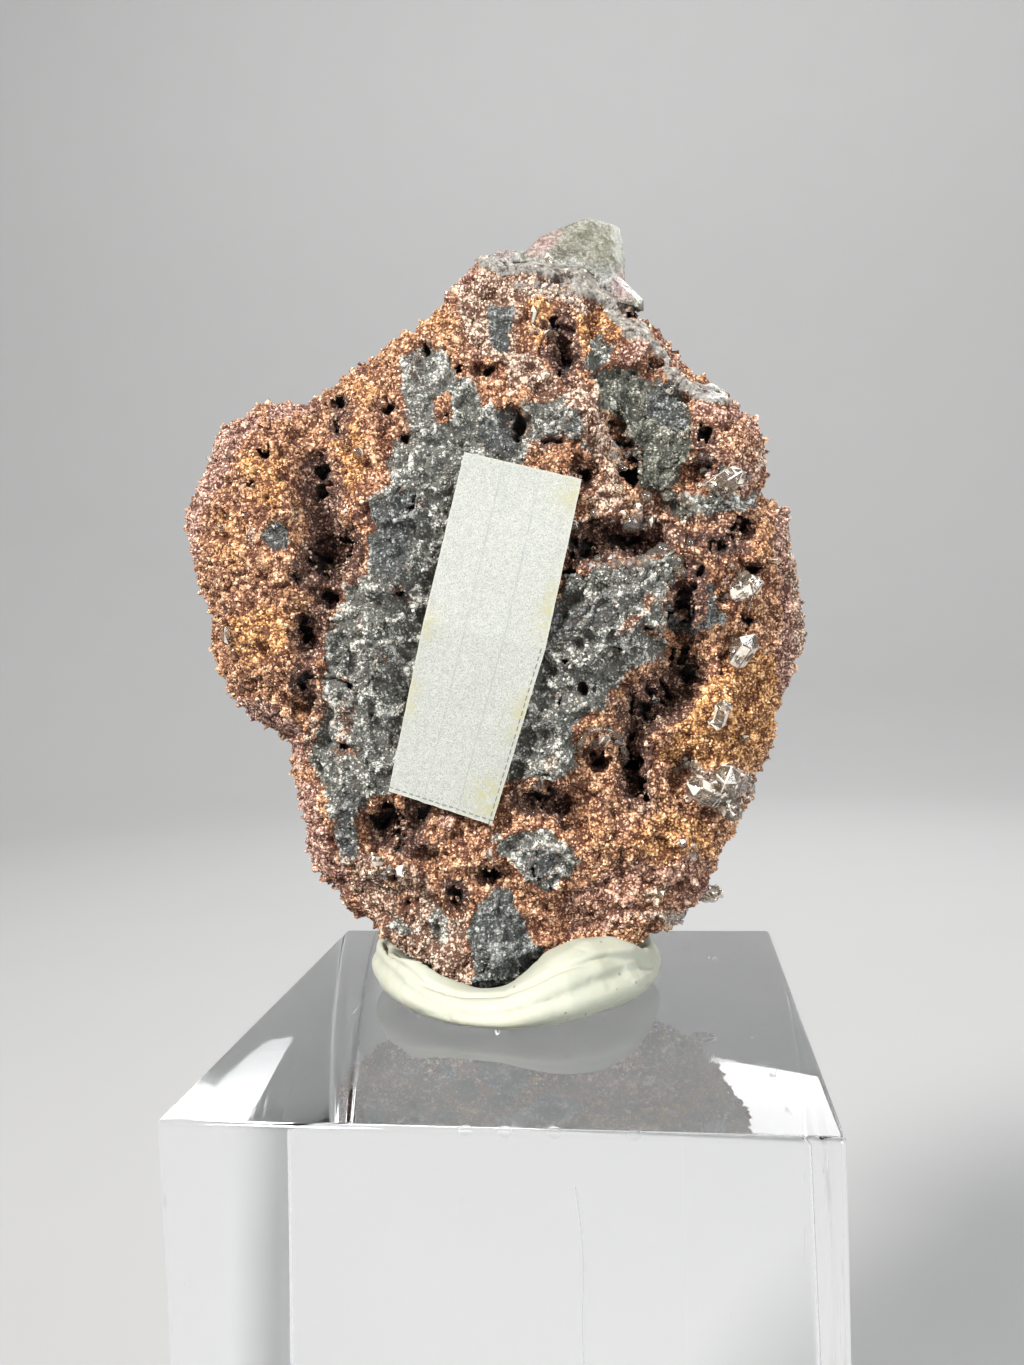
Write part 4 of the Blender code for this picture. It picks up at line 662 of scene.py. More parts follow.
def off_label_plane(across, up, depth):
    """The point that shows at this place on the label's plane, at a depth in front of the rim, in metres."""
    scale = (-depth - EYE.y) / (-EYE.y - LABEL_PLANE)
    place = Vector((EYE.x + (across - EYE.x) * scale, -depth, EYE.z + (up - EYE.z) * scale))
    return STONE_MATRIX @ (place * MM)


def sampled(points, size, basis="PERLIN_ORIGINAL", shift=0.0):
    """Noise at each point, in waves or cells of about this size."""
    places = (points / size + shift).tolist()
    return np.array([noise.noise(place, noise_basis=basis) for place in places])


def lumps(points, size, shift=0.0):
    """Round lumps that meet in creases: 0.5 in their middles and about -0.4 in the creases."""
    return 0.5 - 1.3 * np.clip(sampled(points, size, "VORONOI_F1", shift), 0, 1) ** 2


def creases(points, size, width, shift=0.0):
    """Narrow creases between cells: 1 along them, 0 elsewhere."""
    return step(width, 0.0, sampled(points, size, "VORONOI_F2F1", shift))


def step(low, high, values):
    """A smooth step from 0 to 1 between two values."""
    share = np.clip((values - low) / (high - low), 0, 1)
    return share * share * (3 - 2 * share)


def cover(across, up, patch):
    """How much of a patch lies at each place: 1 in its middle, 0 well outside it."""
    x, z, half_width, half_height, turn = patch[:5]
    turn = math.radians(turn)
    right = across - x
    rise = up - z
    along = (right * math.cos(turn) - rise * math.sin(turn)) / half_width
    upward = (right * math.sin(turn) + rise * math.cos(turn)) / half_height
    return np.exp(-((along**2 + upward**2) ** 2))


def inside(across, up, outline, soft=0.25):
    """How far inside an outline each place is: 1 well inside it, 0 outside, with a soft edge."""
    within = np.zeros(len(across), bool)
    nearest = np.full(len(across), np.inf)
    for (x0, z0), (x1, z1) in zip(outline, outline[1:] + outline[:1]):
        length = (x1 - x0) ** 2 + (z1 - z0) ** 2
        along = np.clip(((across - x0) * (x1 - x0) + (up - z0) * (z1 - z0)) / length, 0, 1)
        gap = np.hypot(across - x0 - along * (x1 - x0), up - z0 - along * (z1 - z0))
        nearest = np.minimum(nearest, gap)
        if z0 != z1:
            within ^= ((z0 > up) != (z1 > up)) & (across < x0 + (x1 - x0) * (up - z0) / (z1 - z0))
    return step(-soft, soft, np.where(within, nearest, -nearest))


def lay_on(share, kind, much):
    """Paint one kind over the others; rust has no share of its own and only bares the ground colour."""
    for other in share.values():
        other *= 1 - much
    if kind in share:
        share[kind] += much


def painted(across, up, outlines, layers):
    """Paint the regions one over another and return each kind's share at each place."""
    share = {kind: np.zeros(len(across)) for kind in KINDS}
    for kind, strength, outline in outlines:
        lay_on(share, kind, strength * inside(across, up, outline))
    for kind, patches in layers:
        for patch in patches:
            much = patch[5] * cover(across, up, patch)
            if kind != "hollow":
                lay_on(share, kind, much)
                continue
            # A pit is ringed with painted shade: dark brown, or slate on the grey plates
            x, z, half_width, half_height, turn, strength = patch
            shade_ring = cover(across, up, (x, z, 1.7 * half_width + 0.3, 1.5 * half_height + 0.3, turn))
            grey = np.clip(share["grey"] + share["slate"] + share["moss"], 0, 1)
            lay_on(share, "umber", 0.62 * strength * shade_ring * (1 - grey))
            lay_on(share, "slate", 0.55 * strength * shade_ring * grey)
            share["hollow"] = np.maximum(share["hollow"], much)
    return share


# Node helpers


def connect(tree, sockets, values):
    """Give sockets values or links, by their names or numbers."""
    for name, value in values.items():
        if isinstance(value, bpy.types.NodeSocket):
            tree.links.new(value, sockets[name])
        else:
            sockets[name].default_value = value


def put(tree, kind, inputs=None, **settings):
    """Add a node, set it up, and give its inputs values or links."""
    node = tree.nodes.new(kind)
    for name, value in settings.items():
        setattr(node, name, value)
    connect(tree, node.inputs, inputs or {})
    return node


def maths(tree, operation, first, second=0.0):
    """An operation on one or two numbers."""
    return put(tree, "ShaderNodeMath", {0: first, 1: second}, operation=operation).outputs[0]


def plus(tree, first, second):
    """The sum of two numbers."""
    return maths(tree, "ADD", first, second)


def times(tree, first, second):
    """The product of two numbers."""
    return maths(tree, "MULTIPLY", first, second)


def largest(tree, value, *others):
    """The largest of some numbers."""
    for other in others:
        value = maths(tree, "MAXIMUM", value, other)
    return value


def away_from(tree, value, middle):
    """How far a number is from a middle one, either way."""
    return maths(tree, "ABSOLUTE", maths(tree, "SUBTRACT", value, middle))


def span(tree, value, low, high, to_low=0.0, to_high=1.0, smooth=True):
    """Map a number from one span to another, held inside it."""
    kind = "SMOOTHSTEP" if smooth else "LINEAR"
    inputs = {"Value": value, "From Min": low, "From Max": high, "To Min": to_low, "To Max": to_high}
    return put(tree, "ShaderNodeMapRange", inputs, interpolation_type=kind).outputs["Result"]


def mix(tree, factor, first, second, blend="MIX"):
    """Mix two colours."""
    first, second = ((*tone, 1.0) if isinstance(tone, tuple) else tone for tone in (first, second))
    node = put(tree, "ShaderNodeMix", {0: factor, 6: first, 7: second}, data_type="RGBA", blend_type=blend)
    return node.outputs[2]


def tint(tree, tone, by):
    """One colour multiplied by another."""
    return mix(tree, 1.0, tone, by, "MULTIPLY")


def attribute(tree, name):
    """A number that is stored on the mesh."""
    return put(tree, "ShaderNodeAttribute", attribute_name=name).outputs["Fac"]


def object_place(tree):
    """Each point's place on the piece, in metres."""
    return put(tree, "ShaderNodeTexCoord").outputs["Object"]


def cloud(tree, place, size, detail=2.0, roughness=0.5, shift=0.0):
    """Soft noise in waves of a size in millimetres."""
    if shift:
        moved = put(tree, "ShaderNodeMapping", {"Vector": place, "Location": (shift, shift, shift)})
        place = moved.outputs[0]
    inputs = {"Vector": place, "Scale": 1 / (size * MM), "Detail": detail, "Roughness": roughness}
    return put(tree, "ShaderNodeTexNoise", inputs).outputs["Fac"]


def cells(tree, place, size, **settings):
    """Cells of a size in millimetres: the outputs for a distance in each and for its own random colour."""
    inputs = {"Vector": place, "Scale": 1 / (size * MM)}
    return put(tree, "ShaderNodeTexVoronoi", inputs, **settings).outputs


def own_number(tree, colour):
    """A cell's own random number, taken from its colour."""
    return put(tree, "ShaderNodeSeparateColor", {"Color": colour}).outputs[0]


def bump(tree, height, distance, strength=1.0, normal=None):
    """A bump of a height in millimetres."""
    inputs = {"Height": height, "Distance": distance * MM, "Strength": strength}
    if normal:
        inputs["Normal"] = normal
    return put(tree, "ShaderNodeBump", inputs).outputs["Normal"]


def new_material(name):
    """An empty node material and its surface shader."""
    material = bpy.data.materials.new(name)
    material.use_nodes = True
    tree = material.node_tree
    return material, tree, tree.nodes["Principled BSDF"]


def set_shader(tree, shader, **values):
    """Give the surface shader values or links, by the inputs' names with _ for a space."""
    connect(tree, shader.inputs, {name.replace("_", " "): value for name, value in values.items()})


def group_tree(name, inputs, outputs):
    """An empty shader group with named sockets, given as the name and kind of each."""
    tree = bpy.data.node_groups.new(name, "ShaderNodeTree")
    for title, kind in inputs:
        tree.interface.new_socket(title, in_out="INPUT", socket_type=kind)
    for title, kind in outputs:
        tree.interface.new_socket(title, in_out="OUTPUT", socket_type=kind)
    return tree, tree.nodes.new("NodeGroupInput").outputs, tree.nodes.new("NodeGroupOutput").inputs


def use_group(tree, name, inputs):
    """Place a shader group in a material."""
    return put(tree, "ShaderNodeGroup", inputs, node_tree=bpy.data.node_groups[name]).outputs


# Shader groups and materials


def crust_tone_group(colours):
    """The crust's colour: its painted regions, with painted shade in creases and a painted cream highlight on
    raised places.
    """
    sockets = (("Shuffle", "NodeSocketFloat"), ("Shade", "NodeSocketFloat"))
    tree, given, result = group_tree("crust_tone", sockets, (("Color", "NodeSocketColor"),))
    place = object_place(tree)
    hue = span(tree, cloud(tree, place, 2.6, 3.0, 0.6), 0.35, 0.65)
    tone = mix(tree, hue, tuple(colours.rust), tuple(colours.burnt))
    jitter = times(tree, maths(tree, "SUBTRACT", given["Shuffle"], 0.5), 0.34)
    masks = {}
    for kind in KINDS:
        masks[kind] = span(tree, plus(tree, attribute(tree, kind), jitter), 0.30, 0.62)
        tone = mix(tree, masks[kind], tone, tuple(getattr(colours, kind)))
    grey = largest(tree, masks["grey"], masks["slate"], masks["moss"])
    value = crust_value(tree, place, given["Shade"], masks["glass"])
    crease, highlight_gain, crystal = (
        mix(tree, grey, RUSTY_TONES[part], GREY_TONES[part]) for part in ("crease", "highlight_gain", "crystal")
    )
    crystal_share = span(tree, grey, 0.0, 1.0, RUSTY_TONES["share"], GREY_TONES["share"])
    # Painted highlight: the tone made lighter and mixed with cream on raised places and light grains
    bright = mix(tree, crystal_share, tint(tree, tone, highlight_gain), crystal)
    # Painted shade in creases, on low places and on dark grains, with the painted highlight above it
    shaded = mix(tree, span(tree, value, 0.05, 0.34), tint(tree, tone, crease), tone)
    shaded = mix(tree, span(tree, value, 0.34, 0.78), shaded, bright)
    # The pits keep their near-black painted shade
    tree.links.new(mix(tree, masks["hollow"], shaded, tone), result["Color"])


def crust_value(tree, place, shade, glassy):
    """How light the crust is: its own shade, plus painted light and shade by height and painted shade along
    creases.
    """
    waves = put(tree, "ShaderNodeTexNoise", {"Vector": place, "Scale": 1 / (0.4 * MM)}).outputs["Color"]
    moved = {0: waves, 1: (0.3 * MM,) * 3, 2: place}
    bent = put(tree, "ShaderNodeVectorMath", moved, operation="MULTIPLY_ADD").outputs[0]
    off_edge = cells(tree, bent, 0.5, feature="DISTANCE_TO_EDGE")["Distance"]
    # Painted shade along the creases between crystals
    within = largest(tree, span(tree, off_edge, 0.02, 0.17), glassy)
    # Painted light and shade: raised places lighter, low places darker
    relief_light = times(tree, maths(tree, "SUBTRACT", attribute(tree, "height"), 0.5), 0.75)
    return times(tree, plus(tree, relief_light, shade), plus(tree, times(tree, within, 0.62), 0.38))


def grain_material():
    """Small crystals of the crust, each of its own lightness; the grey ones are darker and duller."""
    material, tree, shader = new_material("drusy_grains")
    shuffle = attribute(tree, "shuffle")
    greyish = attribute(tree, "greyish")
    shade = times(tree, attribute(tree, "shade"), span(tree, greyish, 0.3, 0.7, 1.0, 0.74))
    tone = use_group(tree, "crust_tone", {"Shuffle": shuffle, "Shade": shade})["Color"]
    warmth = mix(tree, shuffle, (1.08, 0.98, 0.90), (0.95, 1.02, 1.07))
    roughness = span(tree, shuffle, 0.0, 1.0, 0.25, 0.65, smooth=False)
    fine = cloud(tree, object_place(tree), 0.075, 2.0, 0.6)
    set_shader(
        tree, shader, Base_Color=tint(tree, tone, warmth), IOR=1.75,
        Roughness=plus(tree, roughness, times(tree, greyish, 0.15)), Normal=bump(tree, fine, 0.06),
    )
    return material


def ground_material():
    """The stone between the grains, with small facets of its own, and smoother where it is glassy."""
    material, tree, shader = new_material("crust_ground")
    place = object_place(tree)
    fine = cloud(tree, place, 0.22, 4.0, 0.7)
    glassy = attribute(tree, "glass")
    facets = cells(tree, place, 0.19, distance="MANHATTAN")
    off_middle = facets["Distance"]
    # Each facet has a random tone of its own and painted shade towards its edges
    own = times(tree, own_number(tree, facets["Color"]), span(tree, off_middle, 0.3, 1.0, 1.1, 0.45))
    shade = mix(tree, glassy, own, span(tree, fine, 0.35, 0.70, 0.05, 0.66, smooth=False))
    tone = use_group(tree, "crust_tone", {"Shuffle": fine, "Shade": shade})["Color"]
    relief = plus(tree, fine, times(tree, off_middle, span(tree, glassy, 0.2, 0.6, -0.5, 0.0)))
    set_shader(
        tree, shader, Base_Color=tone, Roughness=span(tree, glassy, 0.3, 0.8, 0.8, 0.28), IOR=1.6,
        Normal=bump(tree, relief, 0.20),
    )
    return material


def clear_grain_material(colours):
    """Clear and faintly pink grains that let the crust show through."""
    material, tree, shader = new_material("clear_grains")
    rosy = mix(tree, span(tree, attribute(tree, "rose"), 0.2, 0.8), tuple(colours.clear), (0.88, 0.72, 0.70))
    tone = mix(tree, span(tree, attribute(tree, "shade"), 0.0, 0.7, 0.6, 0.0), rosy, (0.62, 0.54, 0.50))
    roughness = span(tree, attribute(tree, "shuffle"), 0.0, 1.0, 0.05, 0.30, smooth=False)
    set_shader(tree, shader, Base_Color=tone, Roughness=roughness, IOR=1.7, Transmission_Weight=0.80)
    return material


def crystal_materials(colours):
    """Clear glass for most facets of the large crystals, and frosted white for the others."""
    made = []
    for name, kind, worn_share, roughness, clearness in CRYSTAL_FINISHES:
        material, tree, shader = new_material(name)
        place = object_place(tree)
        tone = tuple(getattr(colours, kind))
        worn = span(tree, cloud(tree, place, 0.3, 3.0, 0.7), 0.40, 0.65)
        set_shader(
            tree, shader, Base_Color=mix(tree, worn, tone, tuple(worn_share * part for part in tone)),
            Roughness=span(tree, worn, 0.0, 1.0, roughness, roughness + 0.10), IOR=1.75,
            Transmission_Weight=clearness, Normal=bump(tree, cloud(tree, place, 0.2, 3.0), 0.04),
        )
        made.append(material)
    return made


def bead_material():
    """Round clear glass, faintly brown and cloudy in places."""
    material, tree, shader = new_material("glassy_beads")
    place = object_place(tree)
    cloudy = span(tree, cloud(tree, place, 0.5, 3.0, 0.6), 0.45, 0.70)
    set_shader(
        tree, shader, Base_Color=mix(tree, cloudy, (0.88, 0.82, 0.70), (0.86, 0.84, 0.80)), Roughness=0.06,
        IOR=1.55, Transmission_Weight=0.94, Normal=bump(tree, cloud(tree, place, 0.35, 2.0), 0.03),
    )
    return material


def apex_material(colours):
    """Olive-grey crystal, clouded inside and flecked, with its banded, rosy and dark places and a painted
    highlight.
    """
    material, tree, shader = new_material("apex_crystal")
    place = object_place(tree)
    cloudy = span(tree, cloud(tree, place, 0.9, 5.0, 0.7), 0.36, 0.62)
    fine = cloud(tree, place, 0.22, 4.0, 0.75)
    fleck = span(tree, fine, 0.35, 0.65)
    tone = mix(tree, cloudy, (0.105, 0.10, 0.06), tuple(colours.apex))
    tone = mix(tree, span(tree, fine, 0.50, 0.66, 0.0, 0.8), tone, (0.48, 0.47, 0.41))
    for name, between, on_flecks in APEX_TONES:
        tone = mix(tree, attribute(tree, name), tone, mix(tree, fleck, between, on_flecks))
    uneven = bump(tree, cloud(tree, place, 0.7, 3.0, 0.6), 0.25)
    set_shader(
        tree, shader, Base_Color=tone, Roughness=span(tree, fine, 0.3, 0.7, 0.12, 0.40), IOR=1.75,
        Transmission_Weight=0.18, Normal=bump(tree, fine, 0.10, normal=uneven),
    )
    return material


def paper_material(colours):
    """Grey-flecked paper with yellowed spots at its edges, a dashed cut line and two ruled lines."""
    material, tree, shader = new_material("label_paper")
    place = object_place(tree)
    sheet = put(tree, "ShaderNodeUVMap", uv_map="sheet").outputs["UV"]
    split = put(tree, "ShaderNodeSeparateXYZ", {"Vector": sheet}).outputs
    fleck = span(tree, cloud(tree, place, 0.075, 4.0, 0.8), 0.34, 0.58)
    blotch = span(tree, cloud(tree, place, 0.40, 5.0, 0.8, 0.002), 0.36, 0.60)
    worn = span(tree, cloud(tree, place, 0.5, 3.0, 0.7, 0.004), 0.36, 0.60)
    tone = mix(tree, fleck, (0.215, 0.225, 0.205), tuple(colours.paper))
    tone = mix(tree, blotch, mix(tree, 0.40, tone, (0.27, 0.28, 0.26)), tone)
    tone = mix(tree, times(tree, attribute(tree, "stain"), worn), tone, (0.34, 0.325, 0.20))
    tone = mix(tree, span(tree, attribute(tree, "edge"), 0.5, 1.0, 0.0, 0.35), tone, (0.46, 0.45, 0.37))
    tone = mix(tree, cut_line(tree, split["X"], split["Y"]), tone, (0.10, 0.10, 0.10))
    tone = mix(tree, ruled_lines(tree, split["X"], place), tone, (0.24, 0.25, 0.26))
    normal = bump(tree, cloud(tree, place, 0.12, 3.0, 0.7), 0.02)
    set_shader(tree, shader, Base_Color=tone, Roughness=0.78, IOR=1.4, Normal=normal)
    return material


def thin_line(tree, value, middle, half_width):
    """1 where a number is close to a middle one, 0 elsewhere."""
    return maths(tree, "LESS_THAN", away_from(tree, value, middle), half_width)


def dashes(tree, value):
    """1 on the dashes of a line along this number, 0 in its gaps."""
    return maths(tree, "LESS_THAN", maths(tree, "FRACT", times(tree, value, DASHES_PER_MM)), DASH_SHARE)


def cut_line(tree, across, along):
    """Dashes just inside the foot and the lower right side of the sheet."""
    foot = times(tree, thin_line(tree, along, CUT_LINE_UP, 0.035), dashes(tree, across))
    side = times(tree, thin_line(tree, across, CUT_LINE_ACROSS, 0.035), dashes(tree, along))
    low = maths(tree, "LESS_THAN", along, CUT_LINE_TOP)
    return times(tree, largest(tree, foot, times(tree, side, low)), 0.8)


def ruled_lines(tree, across, place):
    """Faint lines ruled along the sheet, worn away in places."""
    line = 0.0
    for middle in RULED_LINES:
        line = plus(tree, thin_line(tree, across, middle, 0.045), line)
    return times(tree, line, span(tree, cloud(tree, place, 0.5, 3.0, 0.7), 0.30, 0.60, 0.10, 0.55))


def tack_material(colours):
    """Cream-white tack with a few dark specks and a dirty, pitted spot."""
    material, tree, shader = new_material("mineral_tack")
    place = object_place(tree)
    soft = span(tree, cloud(tree, place, 3.0, 3.0, 0.5), 0.35, 0.65)
    specks = cells(tree, place, 0.9)
    speck = span(tree, specks["Distance"], 0.05, 0.12, 1.0, 0.0)
    few = span(tree, own_number(tree, specks["Color"]), 0.70, 0.74)
    tone = mix(tree, soft, tuple(colours.tack), (0.39, 0.40, 0.32))
    tone = mix(tree, times(tree, speck, few), tone, (0.22, 0.20, 0.15))
    tone = mix(tree, attribute(tree, "dirt"), tone, (0.42, 0.40, 0.30))
    normal = bump(tree, cloud(tree, place, 0.5, 4.0, 0.6), 0.02)
    set_shader(
        tree, shader, Base_Color=tone, Roughness=0.60, IOR=1.36, Normal=normal, Subsurface_Weight=0.15,
        Subsurface_Scale=0.6 * MM,
    )
    return material


def scratch_group():
    """Hairline scratches in three directions, a long one on the front, and chips along its upper edge."""
    sockets = (("Vector", "NodeSocketVector"),)
    tree, given, result = group_tree("fine_scratches", sockets, (("Mask", "NodeSocketFloat"),))
    place = given["Vector"]
    total = 0.0
    for number, turn in enumerate((0.30, -0.75, 1.30)):
        total = plus(tree, hairlines(tree, place, number, turn), total)
    total = plus(tree, total, long_scratch(tree, place))
    for across in CHIPS:
        chip = (across * MM, BLOCK_FRONT, BLOCK_TOP)
        gap = put(tree, "ShaderNodeVectorMath", {0: place, 1: chip}, operation="DISTANCE").outputs["Value"]
        total = plus(tree, total, span(tree, gap, 0.20 * MM, 0.42 * MM, 2.0, 0.0))
    tree.links.new(total, result["Mask"])


def hairlines(tree, place, number, turn):
    """Thin scratches that run in one direction, here and there."""
    turned = put(tree, "ShaderNodeMapping", {
        "Vector": place, "Location": (0.013 * number, 0.0, 0.0), "Rotation": (0.0, turn, turn),
        "Scale": (12.0, 1.0, 1.0),
    }).outputs[0]
    drawn = put(tree, "ShaderNodeTexNoise", {"Vector": turned, "Scale": 75.0, "Detail": 1.0}).outputs["Fac"]
    where = span(tree, cloud(tree, place, 3.5, 3.0, 0.6, 0.02 * number + 0.01), 0.56, 0.70, 0.0, 0.7)
    return times(tree, span(tree, away_from(tree, drawn, 0.5), 0.002, 0.008, 1.0, 0.0), where)


def long_scratch(tree, place):
    """One scratch that wavers down the front of the block."""
    split = put(tree, "ShaderNodeSeparateXYZ", {"Vector": place}).outputs
    sway = span(tree, cloud(tree, place, 9.0, 1.0), 0.0, 1.0, -0.8 * MM, 0.8 * MM, smooth=False)
    off = away_from(tree, plus(tree, split["X"], sway), LONG_SCRATCH_ACROSS)
    front = maths(tree, "LESS_THAN", split["Y"], BLOCK_FRONT + 0.05 * MM)
    low = maths(tree, "LESS_THAN", split["Z"], LONG_SCRATCH_TOP)
    return times(tree, span(tree, off, 0.02 * MM, 0.05 * MM, 1.0, 0.0), times(tree, front, low))


def acrylic_material(colours):
    """Clear acrylic with scratches and smudges on its faces."""
    material, tree, shader = new_material("acrylic")
    place = object_place(tree)
    scratches = use_group(tree, "fine_scratches", {"Vector": place})["Mask"]
    scratched = span(tree, scratches, 0.0, 1.0, 0.0, 0.30)
    smudge = span(tree, cloud(tree, place, 6.0, 5.0, 0.7), 0.50, 0.70, 0.0, 0.10)
    set_shader(
        tree, shader, Base_Color=mix(tree, scratched, tuple(colours.acrylic), (0.66, 0.68, 0.70)),
        Roughness=plus(tree, scratched, smudge), IOR=1.49, Transmission_Weight=1.0,
        Normal=bump(tree, scratches, 0.002, 0.3),
    )
    return material


def floor_material(colours):
    """Plain pale card."""
    material, tree, shader = new_material("pale_card")
    darker = tuple(0.97 * part for part in colours.floor)
    tone = mix(tree, cloud(tree, object_place(tree), 30.0), tuple(colours.floor), darker)
    set_shader(tree, shader, Base_Color=tone, Roughness=0.9, IOR=1.4)
    return material


# Geometry Nodes

# Far above what the spacing lets stand, so that the spacing alone thins the grains
GRAINS_PER_SQUARE_METRE = 3.0e8


def grain_tree():
    """Scatter small crystals over a mesh where an attribute says, as one plain mesh."""
    tree = bpy.data.node_groups.new("grow_grains", "GeometryNodeTree")
    for title, kind in (
        ("Geometry", "NodeSocketGeometry"), ("Where", "NodeSocketString"), ("Spacing", "NodeSocketFloat"),
        ("Smallest", "NodeSocketFloat"), ("Largest", "NodeSocketFloat"), ("Lift", "NodeSocketFloat"),
        ("Seed", "NodeSocketInt"), ("Material", "NodeSocketMaterial"),
    ):
        tree.interface.new_socket(title, in_out="INPUT", socket_type=kind)
    tree.interface.new_socket("Geometry", in_out="OUTPUT", socket_type="NodeSocketGeometry")
    given = tree.nodes.new("NodeGroupInput").outputs
    where = put(tree, "GeometryNodeInputNamedAttribute", {"Name": given["Where"]}, data_type="FLOAT")
    points = put(tree, "GeometryNodeDistributePointsOnFaces", {
        "Mesh": given["Geometry"], "Distance Min": given["Spacing"], "Density Max": GRAINS_PER_SQUARE_METRE,
        "Density Factor": where.outputs["Attribute"], "Seed": given["Seed"],
    }, distribute_method="POISSON")

    def draw(kind, low, high, shift):
        """A random value of each grain's own."""
        node = put(tree, "FunctionNodeRandomValue", data_type=kind)
        sockets = {socket.name: socket for socket in node.inputs if socket.enabled}
        connect(tree, sockets, {"Min": low, "Max": high, "Seed": plus(tree, given["Seed"], shift)})
        return next(socket for socket in node.outputs if socket.enabled)

    share = maths(tree, "POWER", draw("FLOAT", 0.0, 1.0, 1), 1.6)
    width = put(tree, "ShaderNodeMapRange", {
        "Value": share, "To Min": given["Smallest"], "To Max": given["Largest"],
    }).outputs["Result"]
    lift = put(tree, "ShaderNodeVectorMath", {
        0: points.outputs["Normal"], "Scale": times(tree, width, given["Lift"]),
    }, operation="SCALE")
    raised = put(tree, "GeometryNodeSetPosition", {
        "Geometry": points.outputs["Points"], "Offset": lift.outputs["Vector"],
    })
    size = put(tree, "ShaderNodeVectorMath", {
        0: draw("FLOAT_VECTOR", (0.75, 0.75, 0.70), (1.0, 1.0, 1.15), 2), "Scale": width,
    }, operation="SCALE")
    full_turn = 6.28
    angles = draw("FLOAT_VECTOR", (0, 0, 0), (full_turn,) * 3, 3)
    turn = put(tree, "FunctionNodeEulerToRotation", {0: angles})
    shapes = put(tree, "GeometryNodeJoinGeometry")
    for sides in (3, 4, 4, 5):
        form = put(tree, "GeometryNodeMeshUVSphere", {"Segments": sides, "Rings": 2, "Radius": 0.5})
        single = put(tree, "GeometryNodeGeometryToInstance", {0: form.outputs["Mesh"]})
        tree.links.new(single.outputs[0], shapes.inputs[0])
    grains = put(tree, "GeometryNodeInstanceOnPoints", {
        "Points": raised.outputs["Geometry"], "Instance": shapes.outputs[0], "Pick Instance": True,
        "Instance Index": draw("INT", 0, 3, 4), "Rotation": turn.outputs[0], "Scale": size.outputs["Vector"],
    })
    last = grains.outputs["Instances"]
    for number, name in enumerate(("shade", "shuffle")):
        stored = put(tree, "GeometryNodeStoreNamedAttribute", {
            "Geometry": last, "Name": name, "Value": draw("FLOAT", 0.0, 1.0, 5 + number),
        }, data_type="FLOAT", domain="INSTANCE")
        last = stored.outputs["Geometry"]
    plain = put(tree, "GeometryNodeRealizeInstances", {"Geometry": last})
    flat = put(tree, "GeometryNodeSetShadeSmooth", {"Geometry": plain.outputs[0], "Shade Smooth": False})
    last = put(tree, "GeometryNodeSetMaterial", {"Geometry": flat.outputs[0], "Material": given["Material"]})
    tree.links.new(last.outputs[0], tree.nodes.new("NodeGroupOutput").inputs[0])
    return tree


def grow_grains(name, ground, material, **inputs):
    """One piece of realized grains on a mesh; the tree's inputs are given by their names."""
    inputs["Material"] = material
    thing = new_object(name, ground.data.copy())
    grown = thing.modifiers.new("grains", "NODES")
    grown.node_group = bpy.data.node_groups.get("grow_grains") or grain_tree()
    for item in grown.node_group.interface.items_tree:
        if item.in_out == "INPUT" and item.name in inputs:
            grown[item.identifier] = inputs[item.name]
    bake_modifiers(thing)
    return thing


# Pieces


def paint_crust(mesh, points, sizes):
    """Store the colour regions and the places where each kind of grain grows; return the regions' shares."""
    wander = sizes.warp / MM
    shift = [
        wander * (sampled(points, 1.6, shift=number) + 0.8 * sampled(points, 0.6, shift=9 + number))
        for number in (1.0, 5.0)
    ]
    across, up = seen(points)
    front = painted(across + shift[0], up + shift[1], FRONT_OUTLINES, FRONT_PATCHES)
    back = painted(points[:, 0] + 4 * shift[0], points[:, 2] + 4 * shift[1], (), BACK_PATCHES)
    facing = step(0.9, -0.9, points[:, 1] + 2 * shift[0])
    share = {kind: front[kind] * facing + back[kind] * (1 - facing) for kind in KINDS}
    # Ragged edges for the pits' painted shade
    ragged = 0.55 * sampled(points, 0.55, shift=13.0) + 0.35 * sampled(points, 0.25, shift=15.0)
    share["hollow"] = step(0.26, 0.74, share["hollow"] * (1 + 2.2 * ragged) + 0.3 * ragged)
    clear = np.zeros(len(points))
    for patch in CLEAR_PATCHES:
        clear = np.maximum(clear, patch[5] * cover(across + shift[0], up + shift[1], patch))
    clear = clear * facing + 0.7 * (1 - facing) * back["pale"]
    for kind, values in share.items():
        write_attribute(mesh, kind, values)
    grey = step(0.35, 0.65, share["grey"] + share["slate"] + share["moss"])
    coarse = 1 - 0.9 * step(0.3, 0.6, share["glass"])
    write_attribute(mesh, "clear", step(0.25, 0.7, clear))
    write_attribute(mesh, "rusty", (1 - grey) * coarse)
    write_attribute(mesh, "greyish", grey * coarse)
    return share


